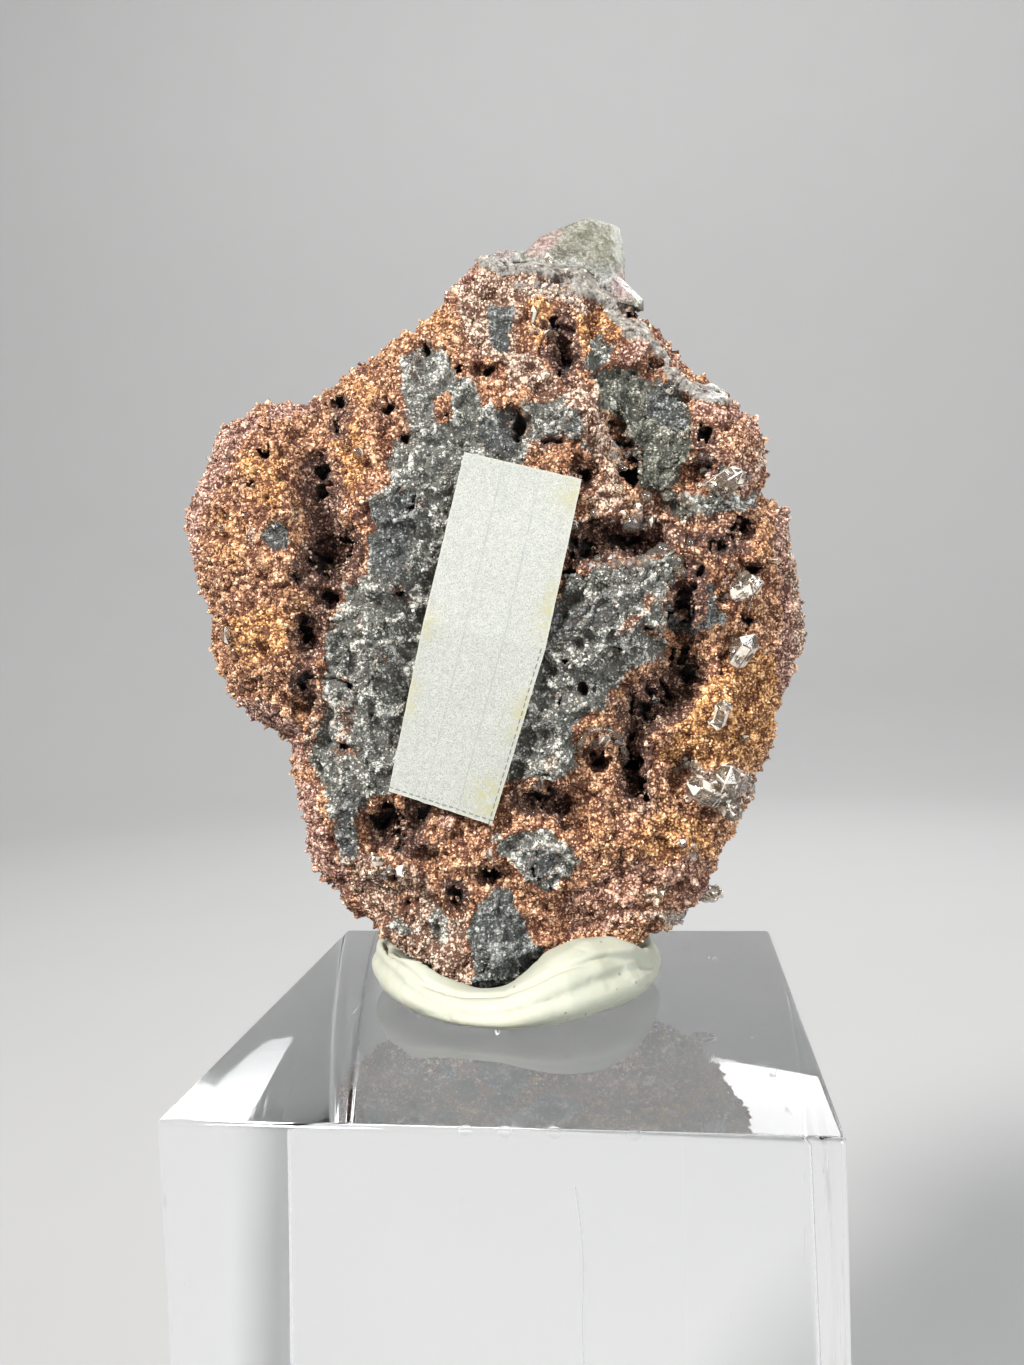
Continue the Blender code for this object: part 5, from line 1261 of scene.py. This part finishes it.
def raise_crust(mesh, points, normals, share, sizes):
    """Knobs, clumps, nubs, small pocks and the dark pits, as a shift of each point in millimetres."""
    grey = np.clip(share["grey"] + share["slate"] + share["moss"], 0, 1)
    smooth = np.clip(share["glass"] + 0.5 * share["slate"], 0, 1)
    up = points[:, 2]
    knobs = lumps(points, sizes.knob / MM)
    clumps = lumps(points, sizes.clump / MM, shift=3.0)
    nubs = lumps(points, sizes.nub / MM, shift=6.0)
    cracks = creases(points, sizes.clump / MM, 0.22, shift=3.0) + 0.7 * creases(points, 0.45, 0.2, shift=21.0)
    pocks = step(0.36, 0.12, sampled(points, sizes.pock / MM, "VORONOI_F1", shift=11.0)) * (0.3 + 0.7 * grey)
    # The grey plates have lower knobs and deeper pocks than the rusty crust
    rise = sizes.knob_rise / MM * knobs * (1 - 0.4 * grey) + sizes.clump_rise / MM * clumps * (1 - 0.2 * grey)
    rise += sizes.nub_rise / MM * nubs - sizes.crease / MM * cracks - sizes.pock_depth / MM * pocks
    rise += 0.10 * sampled(points, 0.8, shift=7.0) - sizes.sink / MM
    # The glassy rind is smoother, and thicker towards the top
    rise *= 1 - 0.6 * smooth - 0.25 * share["glass"]
    rise += share["glass"] * (0.10 + 0.32 * step(37.5, 40.0, up))
    # The relief dies out at the foot, so that the crust stays in the tack
    rise *= np.where(rise > 0, step(1.5, 5.0, up), step(0.2, 2.0, up))
    # A height that only paints light and shade on the crust: raised knobs, clumps and nubs lighter, creases
    # and pocks darker
    height = 0.52 + 0.35 * knobs + 0.55 * clumps + 0.50 * nubs - 0.40 * cracks - 0.50 * pocks
    write_attribute(mesh, "height", np.clip(height + 0.25 * smooth * (1 - height), 0, 1))
    # Pits on the front go straight away from the eye, so that they are seen into
    inward = points - np.array(EYE)
    inward /= np.linalg.norm(inward, axis=1)[:, None]
    inward = np.where(points[:, 1:2] < 0, inward, -normals)
    return normals * rise[:, None] + inward * (sizes.pit_depth / MM * share["hollow"])[:, None]


def quarter_of(mesh, name, left, front):
    """The left or right part of the crust's front or back as its own mesh."""
    bm = bmesh.new()
    bm.from_mesh(mesh)
    middle = -1.0 * MM
    gone = []
    for face in bm.faces:
        place = INTO_STONE @ face.calc_center_median()
        if (place.x < middle) != left or (place.y < 0) != front:
            gone.append(face)
    bmesh.ops.delete(bm, geom=gone, context="FACES")
    quarter = bpy.data.meshes.new(name)
    bm.to_mesh(quarter)
    bm.free()
    return quarter


def make_crust():
    """The stone's own surface: a fine copy of the solid with its regions painted and its relief raised."""
    sizes = bpy.context.scene.crust_sizes
    whole = fine_copy("whole_crust", "stone", sizes.voxel, sizes.smoothing)
    places = read_points(whole.data)
    points = stone_frame(places)
    normals = read_points(whole.data, "normal") @ STONE_AXES
    share = paint_crust(whole.data, points, sizes)
    moves = raise_crust(whole.data, points, normals, share, sizes)
    moves[:, 1] += under_label(points + moves)
    write_points(whole.data, places + moves @ STONE_AXES.T * MM)
    whole.data.shade_smooth()
    material = ground_material()
    quarters = []
    for side, left in (("left", True), ("right", False)):
        for face, front in (("front", True), ("back", False)):
            name = f"crust_{side}_{face}"
            quarters.append(new_object(name, quarter_of(whole.data, name, left, front), material))
    bpy.data.objects.remove(whole)
    return quarters


def crust_quarter(part):
    """A quarter of the crust, which must be there before anything is grown on it."""
    quarter = bpy.data.objects.get("crust_" + part)
    if quarter is None:
        raise RuntimeError("The stone's crust has to be made first")
    return quarter


def under_label(points):
    """How far each point must go back to stay under the label."""
    margin = 0.3
    gap = 0.35
    across, up = seen(points)
    lines = LABEL_FOOT, LABEL_MIDDLE, LABEL_TOP
    heights = [(left[1] + right[1]) / 2 for left, right in lines]
    lefts = [left[0] for left, _ in lines]
    rights = [right[0] for _, right in lines]
    tilt = (LABEL_TOP[1][1] - LABEL_TOP[0][1]) / (LABEL_TOP[1][0] - LABEL_TOP[0][0])
    middle = (np.interp(up, heights, lefts) + np.interp(up, heights, rights)) / 2
    level = up - (across - middle) * tilt
    covered = (level > heights[0] - margin) & (level < heights[2] + margin)
    covered &= across > np.interp(level, heights, lefts) - margin
    covered &= across < np.interp(level, heights, rights) + margin
    depth = np.interp(level, heights, LABEL_DEPTHS[::-1]) - gap
    return np.where(covered & (points[:, 1] < -depth), -depth - points[:, 1], 0.0)


def add_crystal(bm, middle, axis, length, width, thickness, spin, draw):
    """A six-sided crystal with blunt, uneven ends, in the stone's frame in millimetres."""
    turn = axis.to_track_quat("Z", "Y").to_matrix().to_4x4() @ Matrix.Rotation(spin, 4, "Z")
    place = STONE_MATRIX @ Matrix.Scale(MM, 4) @ Matrix.Translation(middle) @ turn
    corners = []
    for end in (-1, 1):
        for side in range(6):
            angle = side * math.pi / 3 + draw.uniform(-0.12, 0.12)
            reach = draw.uniform(0.9, 1.05) / 2
            corners.append((math.cos(angle) * width * reach, math.sin(angle) * thickness * reach,
                            end * length * draw.uniform(0.20, 0.30)))
        for _ in range(2):
            corners.append((draw.uniform(-0.12, 0.12) * width, draw.uniform(-0.12, 0.12) * thickness,
                            end * length * draw.uniform(0.42, 0.50)))
    verts = [bm.verts.new(place @ Vector(corner)) for corner in corners]
    made = bmesh.ops.convex_hull(bm, input=verts)
    inner = [item for item in made["geom_interior"] if isinstance(item, bmesh.types.BMVert)]
    bmesh.ops.delete(bm, geom=inner, context="VERTS")


class Surface:
    """Finds the front of the crust from the eye, in the stone's frame in millimetres."""

    def __init__(self, *crusts):
        corners, faces = [], []
        for crust in crusts:
            first = len(corners)
            faces += [tuple(first + number for number in face.vertices) for face in crust.data.polygons]
            corners += stone_frame(read_points(crust.data)).tolist()
        self.tree = BVHTree.FromPolygons(corners, faces)

    def seen(self, across, up):
        """The place and normal of the crust that shows at a place on the label's plane."""
        scale = -EYE.y / (-EYE.y - LABEL_PLANE)
        aim = Vector((EYE.x + (across - EYE.x) * scale, 0.0, EYE.z + (up - EYE.z) * scale))
        place, normal, _, _ = self.tree.ray_cast(EYE, (aim - EYE).normalized())
        if place is None:
            place, normal, _, _ = self.tree.find_nearest(aim)
        return place, normal


def crystal_object(name, bm, materials, seed):
    """Turn crystals into an object with clear facets and, for a third of them, frosted ones."""
    thing = object_from(bm, name)
    for material in materials:
        thing.data.materials.append(material)
    draw = random.Random(seed)
    # In the order of their places, because their order in the mesh isn't the same each run
    for facet in sorted(thing.data.polygons, key=lambda facet: tuple(facet.center)):
        facet.material_index = int(draw.random() > CLEAR_FACETS)
    return thing


def front_surface():
    """The front of the crust, to seat crystals and beads on."""
    return Surface(crust_quarter("left_front"), crust_quarter("right_front"))


def make_seated_crystals(surface, materials):
    """The small bright crystals that sit on the crust here and there."""
    draw = random.Random(4)
    bm = bmesh.new()
    for across, up, length, width, lean_across, lean_up in SEATED_CRYSTALS:
        place, normal = surface.seen(across, up)
        axis = Vector((lean_across, -0.35, lean_up)) + normal * 0.4
        middle = place + normal * width * 0.2
        add_crystal(bm, middle, axis, length, width, width * 0.8, draw.uniform(0, 3), draw)
    return crystal_object("seated_crystals", bm, materials, 8)


def make_beads(surface, material):
    """Round beads and lumpy curled rims of glass, sunk a little into the crust."""
    balls = []
    balls_per_corner = 14
    averaged = 9
    for across, up, width in BEADS:
        place, normal = surface.seen(across, up)
        balls.append((np.array(place + normal * width * 0.15), width))
    for width, line in RIMS:
        share = np.linspace(0, len(line) - 1, balls_per_corner * len(line))
        ways = [np.interp(share, range(len(line)), side) for side in zip(*line)]
        places = np.array([place + normal * width * 0.2 for place, normal in map(surface.seen, *ways)])
        for number in range(len(places)):
            place = places[max(0, number - averaged):number + averaged + 1].mean(axis=0)
            uneven = 0.8 + 0.5 * noise.noise(place * 1.6)
            tapered = min(1.0, 0.55 + 0.05 * min(number, len(places) - number))
            balls.append((place, width * uneven * tapered))
    bm = bmesh.new()
    for place, width in balls:
        middle = Matrix.Translation(STONE_MATRIX @ (Vector(place) * MM))
        bmesh.ops.create_icosphere(bm, subdivisions=2, radius=width / 2 * MM, matrix=middle)
    beads = object_from(bm, "glassy_beads", material)
    merged = beads.modifiers.new("merged", "REMESH")
    merged.mode = "VOXEL"
    merged.voxel_size = 0.06 * MM
    bake_modifiers(beads)
    beads.data.shade_smooth()
    return beads


def make_single_crystal(node, materials):
    """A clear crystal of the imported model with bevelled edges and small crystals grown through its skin."""
    bm = merged_copy(node)
    bmesh.ops.dissolve_limit(bm, angle_limit=math.radians(1), verts=bm.verts, edges=bm.edges)
    bmesh.ops.bevel(bm, geom=bm.edges[:], offset=0.05 * MM, segments=1, affect="EDGES")
    middle = sum((vert.co for vert in bm.verts), Vector()) / len(bm.verts)
    faces = [(face.calc_center_median(), face.normal.copy(), face.calc_area()) for face in bm.faces]
    draw = random.Random(len(faces))
    areas = [area for _, _, area in faces]
    per_square_mm = 2.5
    most = 60
    count = min(most, int(per_square_mm * sum(areas) / MM**2))
    for place, normal, _ in draw.choices(faces, areas, k=count):
        place = INTO_STONE @ place.lerp(middle, 0.12) / MM
        axis = normal.cross((draw.uniform(-1, 1), draw.uniform(-1, 1), draw.uniform(-1, 1))) + normal * 0.2
        width = draw.uniform(0.3, 0.65)
        length = width * draw.uniform(1.2, 2.0)
        add_crystal(bm, place, axis, length, width, width * 0.5, draw.uniform(0, 3), draw)
    return crystal_object(node + "_glass", bm, materials, 9)


def make_apex(material):
    """The crystals grown together at the top, with a fine uneven skin, their own colour regions and a painted
    highlight.
    """
    thing = fine_copy("apex_crystals_glass", "apex_crystals", 0.10 * MM, 2)
    points = stone_frame(read_points(thing.data))
    swell(thing, 0.07 * lumps(points, 1.1) + 0.05 * lumps(points, 0.45, 5.0))
    wander = 0.30 * sampled(points, 0.9) + 0.20 * sampled(points, 0.4)
    across, up = seen(points)
    for name, patches in APEX_PATCHES.items():
        share = np.zeros(len(points))
        for patch in patches:
            share = np.maximum(share, patch[5] * cover(across + wander, up + wander, patch))
        write_attribute(thing.data, name, share)
    shade_with_edges(thing, 32)
    thing.data.materials.append(material)
    return thing


def label_corner(line, share):
    """A place along one of the lines that run across the label."""
    return Vector(line[0]).lerp(Vector(line[1]), share)


def make_label(material):
    """A thin sheet of paper with slightly uneven cut edges, bowed to the ridge under it."""
    columns = 36
    rows = 100
    edge_width = 0.35
    bm = bmesh.new()
    flat = bm.loops.layers.uv.new("sheet")
    near_edge = bm.verts.layers.float.new("edge")
    stained = bm.verts.layers.float.new("stain")
    width = (Vector(LABEL_TOP[1]) - Vector(LABEL_TOP[0])).length
    height = (Vector(LABEL_TOP[0]) - Vector(LABEL_FOOT[0])).length
    grid, where = [], {}
    for row in range(rows + 1):
        share = row / rows * 2
        upper, lower = (LABEL_TOP, LABEL_MIDDLE) if share <= 1 else (LABEL_MIDDLE, LABEL_FOOT)
        part = share if share <= 1 else share - 1
        depth = np.interp(share, (0, 1, 2), LABEL_DEPTHS) + 0.10
        line = []
        for column in range(columns + 1):
            side = column / columns
            ragged = 0.03 * noise.noise((row * 0.35, column * 0.35, 2.0))
            place = label_corner(upper, side).lerp(label_corner(lower, side), part)
            bow = 0.05 * math.sin(side * math.pi) + 0.10 * noise.noise((side * 2.0, share * 2.4, 0.7))
            curl = 0.18 * max(0.0, 0.18 - share) / 0.18 * max(0.0, 0.5 - side)
            vert = bm.verts.new(off_label_plane(place.x + ragged, place.y + ragged, depth + bow + curl))
            from_edges = min(side, 1 - side) * width, min(share / 2, 1 - share / 2) * height
            vert[near_edge] = max(0.0, 1 - min(from_edges) / edge_width)
            across, up = side * width, (1 - share / 2) * height
            where[vert] = (across, up)
            vert[stained] = max(
                math.exp(-(((across - x) / wide) ** 2) - ((up - z) / tall) ** 2)
                for x, z, wide, tall in LABEL_STAINS
            )
            line.append(vert)
        grid.append(line)
    for upper, lower in zip(grid, grid[1:]):
        for column in range(columns):
            face = bm.faces.new((upper[column], lower[column], lower[column + 1], upper[column + 1]))
            for loop in face.loops:
                loop[flat].uv = where[loop.vert]
    label = object_from(bm, "paper_label", material)
    if label.data.polygons[0].normal.y > 0:
        label.data.flip_normals()
    sheet = label.modifiers.new("paper", "SOLIDIFY")
    sheet.thickness = 0.12 * MM
    sheet.offset = -1.0
    bake_modifiers(label)
    shade_with_edges(label, 40)
    return label


def make_tack(material):
    """Tack pressed round the foot, with a long fold, dents and soft creases."""
    thing = fine_copy("tack_roll", "tack_collar", 0.16 * MM, 8)
    points = stone_frame(read_points(thing.data))
    out = points[:, :2] - COLLAR_MIDDLE
    radius = np.hypot(out[:, 0], out[:, 1])
    angle = np.degrees(np.arctan2(out[:, 1], out[:, 0])) % 360
    fold = np.interp(angle, *zip(*FOLD_LINE)) + 0.15 * sampled(points, 2.0)
    ends = step(182, 196, angle) * step(342, 326, angle)
    upper = step(0.9, 1.5, points[:, 2])
    groove = -0.32 * np.exp(-(((radius - fold) / 0.17) ** 2)) * ends * upper
    roll = 0.10 * np.exp(-(((radius - fold - 0.75) / 0.5) ** 2)) * ends * upper
    dents = 0.14 * sampled(points, 4.0, shift=4.0) + 0.04 * sampled(points, 1.2, shift=2.0)
    wrinkles = -0.05 * step(0.06, 0.0, np.abs(sampled(points * (1, 1, 3), 3.0, shift=8.0)))
    off_block = step(0.32, 0.8, points[:, 2])
    swell(thing, (groove + roll + dents + wrinkles) * off_block)
    spot = np.hypot(angle - 267, (points[:, 2] - 0.9) * 9.0)
    speckled = 0.5 + 0.8 * sampled(points, 0.4)
    write_attribute(thing.data, "dirt", 0.6 * step(9.0, 3.0, spot) * np.clip(speckled, 0, 1))
    thing.data.shade_smooth()
    thing.data.materials.append(material)
    return thing


def make_block(material):
    """The clear block with its polished edges and slightly rounded corners."""
    low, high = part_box("clear_block")
    size = high - low
    bm = bmesh.new()
    bmesh.ops.create_cube(bm, size=1.0)
    bmesh.ops.scale(bm, vec=size, verts=bm.verts)
    bmesh.ops.translate(bm, vec=(low + high) / 2, verts=bm.verts)
    bmesh.ops.bevel(bm, geom=bm.edges[:], offset=0.30 * MM, segments=4, profile=0.5, affect="EDGES")
    block = object_from(bm, "acrylic_block", material)
    shade_with_edges(block, 25)
    return block


# Stage


def aim(thing, target):
    """Turn a light to face a target."""
    thing.rotation_euler = (Vector(target) - thing.location).to_track_quat("-Z", "Y").to_euler()


def add_light(name, place, target, size, power, colour=(1, 1, 1)):
    """A square soft light that faces a target."""
    data = bpy.data.lights.new(name, "AREA")
    data.size = size
    data.energy = power
    data.color = colour
    light = bpy.data.objects.new(name, data)
    bpy.context.scene.collection.objects.link(light)
    light.location = place
    aim(light, target)


def make_camera():
    """The camera at the photograph's viewing angle."""
    data = bpy.data.cameras.new("camera")
    data.sensor_fit = "HORIZONTAL"
    data.sensor_width = 36.0
    data.lens = CAMERA_LENS
    data.clip_start = 0.001
    data.clip_end = 20.0
    camera = bpy.data.objects.new("camera", data)
    bpy.context.scene.collection.objects.link(camera)
    right = Vector((math.cos(CAMERA_YAW), math.sin(CAMERA_YAW), 0))
    level = math.cos(CAMERA_PITCH)
    ahead = Vector((-math.sin(CAMERA_YAW) * level, math.cos(CAMERA_YAW) * level, -math.sin(CAMERA_PITCH)))
    upward = right.cross(ahead)
    side = right * math.cos(CAMERA_ROLL) + upward * math.sin(CAMERA_ROLL)
    top = -right * math.sin(CAMERA_ROLL) + upward * math.cos(CAMERA_ROLL)
    matrix = Matrix((side, top, -ahead)).transposed().to_4x4()
    matrix.translation = CAMERA_PLACE
    camera.matrix_world = matrix
    bpy.context.scene.camera = camera


def make_floor(stage, material):
    """A flat round floor whose rim curves up all round into a backdrop."""
    bend = 12
    profile = [(0.0, 0.0), (stage.floor_radius, 0.0)]
    for number in range(1, bend + 1):
        angle = math.pi / 2 * number / bend
        radius = stage.floor_radius + stage.curve * math.sin(angle)
        profile.append((radius, stage.curve * (1 - math.cos(angle))))
    profile.append((stage.floor_radius + stage.curve, stage.wall))
    bm = bmesh.new()
    verts = [bm.verts.new((radius, 0, height - 0.05 * MM)) for radius, height in profile]
    edges = [bm.edges.new(pair) for pair in zip(verts, verts[1:])]
    bmesh.ops.spin(
        bm, geom=verts + edges, axis=(0, 0, 1), cent=(0, 0, 0), angle=math.tau, steps=96, use_duplicate=False
    )
    bmesh.ops.remove_doubles(bm, verts=bm.verts, dist=0.01 * MM)
    floor = object_from(bm, "floor", material)
    if floor.data.polygons[0].normal.z < 0:
        floor.data.flip_normals()
    floor.data.shade_smooth()


def make_lights(stage):
    """A main light high on the left, a soft fill on the right, one from behind and a pale sky."""
    target = (0, 0, 75 * MM)
    add_light("main_light", (-0.20, -0.29, 0.37), target, 0.10, stage.key, (1.0, 0.985, 0.965))
    add_light("fill_light", (0.30, -0.24, 0.20), target, 0.22, stage.fill, (0.95, 0.98, 1.0))
    add_light("back_light", (0.10, 0.34, 0.36), target, 0.20, stage.back)
    add_light("wall_light", (0.0, 0.30, 0.60), (0.0, 0.80, 0.35), 0.50, stage.wall_light)
    world = bpy.data.worlds.new("sky")
    bpy.context.scene.world = world
    world.use_nodes = True
    sky = world.node_tree.nodes.get("Background") or world.node_tree.nodes.new("ShaderNodeBackground")
    sky.inputs["Color"].default_value = (1.0, 1.0, 1.0, 1.0)
    sky.inputs["Strength"].default_value = stage.world
    bpy.context.scene.view_settings.view_transform = "Standard"


# Operators


class SPECIMEN_OT_stage(bpy.types.Operator):
    """Set up the floor, the lights and the camera"""

    bl_idname = "specimen.stage"
    bl_label = "Stage"

    def execute(self, context):
        make_camera()
        make_floor(context.scene.stage_sizes, floor_material(context.scene.specimen_colours))
        make_lights(context.scene.stage_sizes)
        return {"FINISHED"}


class SPECIMEN_OT_crust(bpy.types.Operator):
    """Raise the stone's crust and paint its colour regions"""

    bl_idname = "specimen.crust"
    bl_label = "Stone crust"

    def execute(self, context):
        crust_tone_group(context.scene.specimen_colours)
        for quarter in make_crust():
            keep(quarter, "stone", "stone")
        return {"FINISHED"}


class SPECIMEN_OT_grains(bpy.types.Operator):
    """Grow the rusty and the grey drusy grains on the crust"""

    bl_idname = "specimen.grains"
    bl_label = "Drusy grains"

    def execute(self, context):
        sizes = context.scene.grain_sizes
        material = grain_material()
        rust = sizes.rust_spacing, sizes.rust_small, sizes.rust_large
        grey = sizes.grey_spacing, sizes.grey_small, sizes.grey_large
        seed = sizes.seed
        for part in ("left_front", "right_front", "left_back", "right_back"):
            coarser = sizes.coarser if part.endswith("back") else 1.0
            for name, where, widths in (("rust_grains", "rusty", rust), ("grey_grains", "greyish", grey)):
                spacing, smallest, widest = (coarser * width for width in widths)
                grains = grow_grains(
                    f"{name}_{part}", crust_quarter(part), material, Where=where, Spacing=spacing,
                    Smallest=smallest, Largest=widest, Lift=-0.20, Seed=seed,
                )
                keep(grains, "stone")
                seed += 1
        return {"FINISHED"}


class SPECIMEN_OT_clear_grains(bpy.types.Operator):
    """Grow the clear grains of the rind"""

    bl_idname = "specimen.clear_grains"
    bl_label = "Clear grains"

    def execute(self, context):
        sizes = context.scene.grain_sizes
        material = clear_grain_material(context.scene.specimen_colours)
        for part in ("left_front", "right_front"):
            grains = grow_grains(
                f"clear_grains_{part}", crust_quarter(part), material, Where="clear",
                Spacing=sizes.clear_spacing, Smallest=sizes.clear_small, Largest=sizes.clear_large, Lift=0.05,
                Seed=sizes.seed + 20,
            )
            keep(grains, "crystal")
        return {"FINISHED"}


class SPECIMEN_OT_crystals(bpy.types.Operator):
    """Seat the small bright crystals and grow the large clear ones"""

    bl_idname = "specimen.crystals"
    bl_label = "Clear crystals"

    def execute(self, context):
        glass = crystal_materials(context.scene.specimen_colours)
        keep(make_seated_crystals(front_surface(), glass), "crystal")
        for node in SINGLE_CRYSTALS:
            keep(make_single_crystal(node, glass), "crystal", node)
        return {"FINISHED"}


class SPECIMEN_OT_beads(bpy.types.Operator):
    """Seat the round glassy beads and curled rims"""

    bl_idname = "specimen.beads"
    bl_label = "Glassy beads"

    def execute(self, context):
        keep(make_beads(front_surface(), bead_material()), "crystal")
        return {"FINISHED"}


class SPECIMEN_OT_apex(bpy.types.Operator):
    """Grow the olive-grey crystals at the very top"""

    bl_idname = "specimen.apex"
    bl_label = "Crystals at the top"

    def execute(self, context):
        keep(make_apex(apex_material(context.scene.specimen_colours)), "crystal", "apex_crystals")
        return {"FINISHED"}


class SPECIMEN_OT_label(bpy.types.Operator):
    """Lay the paper label on the stone"""

    bl_idname = "specimen.label"
    bl_label = "Paper label"

    def execute(self, context):
        keep(make_label(paper_material(context.scene.specimen_colours)), "paper", "label")
        return {"FINISHED"}


class SPECIMEN_OT_tack(bpy.types.Operator):
    """Press the tack round the stone's foot"""

    bl_idname = "specimen.tack"
    bl_label = "Mineral tack"

    def execute(self, context):
        keep(make_tack(tack_material(context.scene.specimen_colours)), "tack", "tack_collar")
        return {"FINISHED"}


class SPECIMEN_OT_block(bpy.types.Operator):
    """Polish the clear block"""

    bl_idname = "specimen.block"
    bl_label = "Clear block"

    def execute(self, context):
        scratch_group()
        keep(make_block(acrylic_material(context.scene.specimen_colours)), "acrylic", "clear_block")
        return {"FINISHED"}


class SPECIMEN_PT_panel(bpy.types.Panel):
    """The specimen's steps, in the order they are run"""

    bl_idname = "SPECIMEN_PT_panel"
    bl_label = "Cerussite specimen"
    bl_space_type = "VIEW_3D"
    bl_region_type = "UI"
    bl_category = "Specimen"

    def draw(self, context):
        for operator in OPERATORS:
            self.layout.operator(operator.bl_idname)
        for name in SETTINGS:
            box = self.layout.box()
            group = getattr(context.scene, name)
            for prop in group.bl_rna.properties:
                if prop.identifier not in ("rna_type", "name"):
                    box.prop(group, prop.identifier)


OPERATORS = (
    SPECIMEN_OT_stage, SPECIMEN_OT_crust, SPECIMEN_OT_grains, SPECIMEN_OT_clear_grains, SPECIMEN_OT_crystals,
    SPECIMEN_OT_beads, SPECIMEN_OT_apex, SPECIMEN_OT_label, SPECIMEN_OT_tack, SPECIMEN_OT_block,
)
SETTINGS = {
    "crust_sizes": CrustSizes,
    "grain_sizes": GrainSizes,
    "specimen_colours": SpecimenColours,
    "stage_sizes": StageSizes,
}


def register():
    """Register the settings, the operators and the panel."""
    for group in SETTINGS.values():
        bpy.utils.register_class(group)
    for name, group in SETTINGS.items():
        setattr(bpy.types.Scene, name, bpy.props.PointerProperty(type=group))
    for operator in OPERATORS:
        bpy.utils.register_class(operator)
    bpy.utils.register_class(SPECIMEN_PT_panel)


def unregister():
    """Take all of them out again."""
    bpy.utils.unregister_class(SPECIMEN_PT_panel)
    for operator in reversed(OPERATORS):
        bpy.utils.unregister_class(operator)
    for name in SETTINGS:
        delattr(bpy.types.Scene, name)
    for group in SETTINGS.values():
        bpy.utils.unregister_class(group)


def main():
    """Build the stage and every piece."""
    register()
    bpy.ops.specimen.stage()
    bpy.ops.specimen.crust()
    bpy.ops.specimen.grains()
    bpy.ops.specimen.clear_grains()
    bpy.ops.specimen.crystals()
    bpy.ops.specimen.beads()
    bpy.ops.specimen.apex()
    bpy.ops.specimen.label()
    bpy.ops.specimen.tack()
    bpy.ops.specimen.block()
    bpy.context.view_layer.update()


if __name__ == "__main__":
    main()
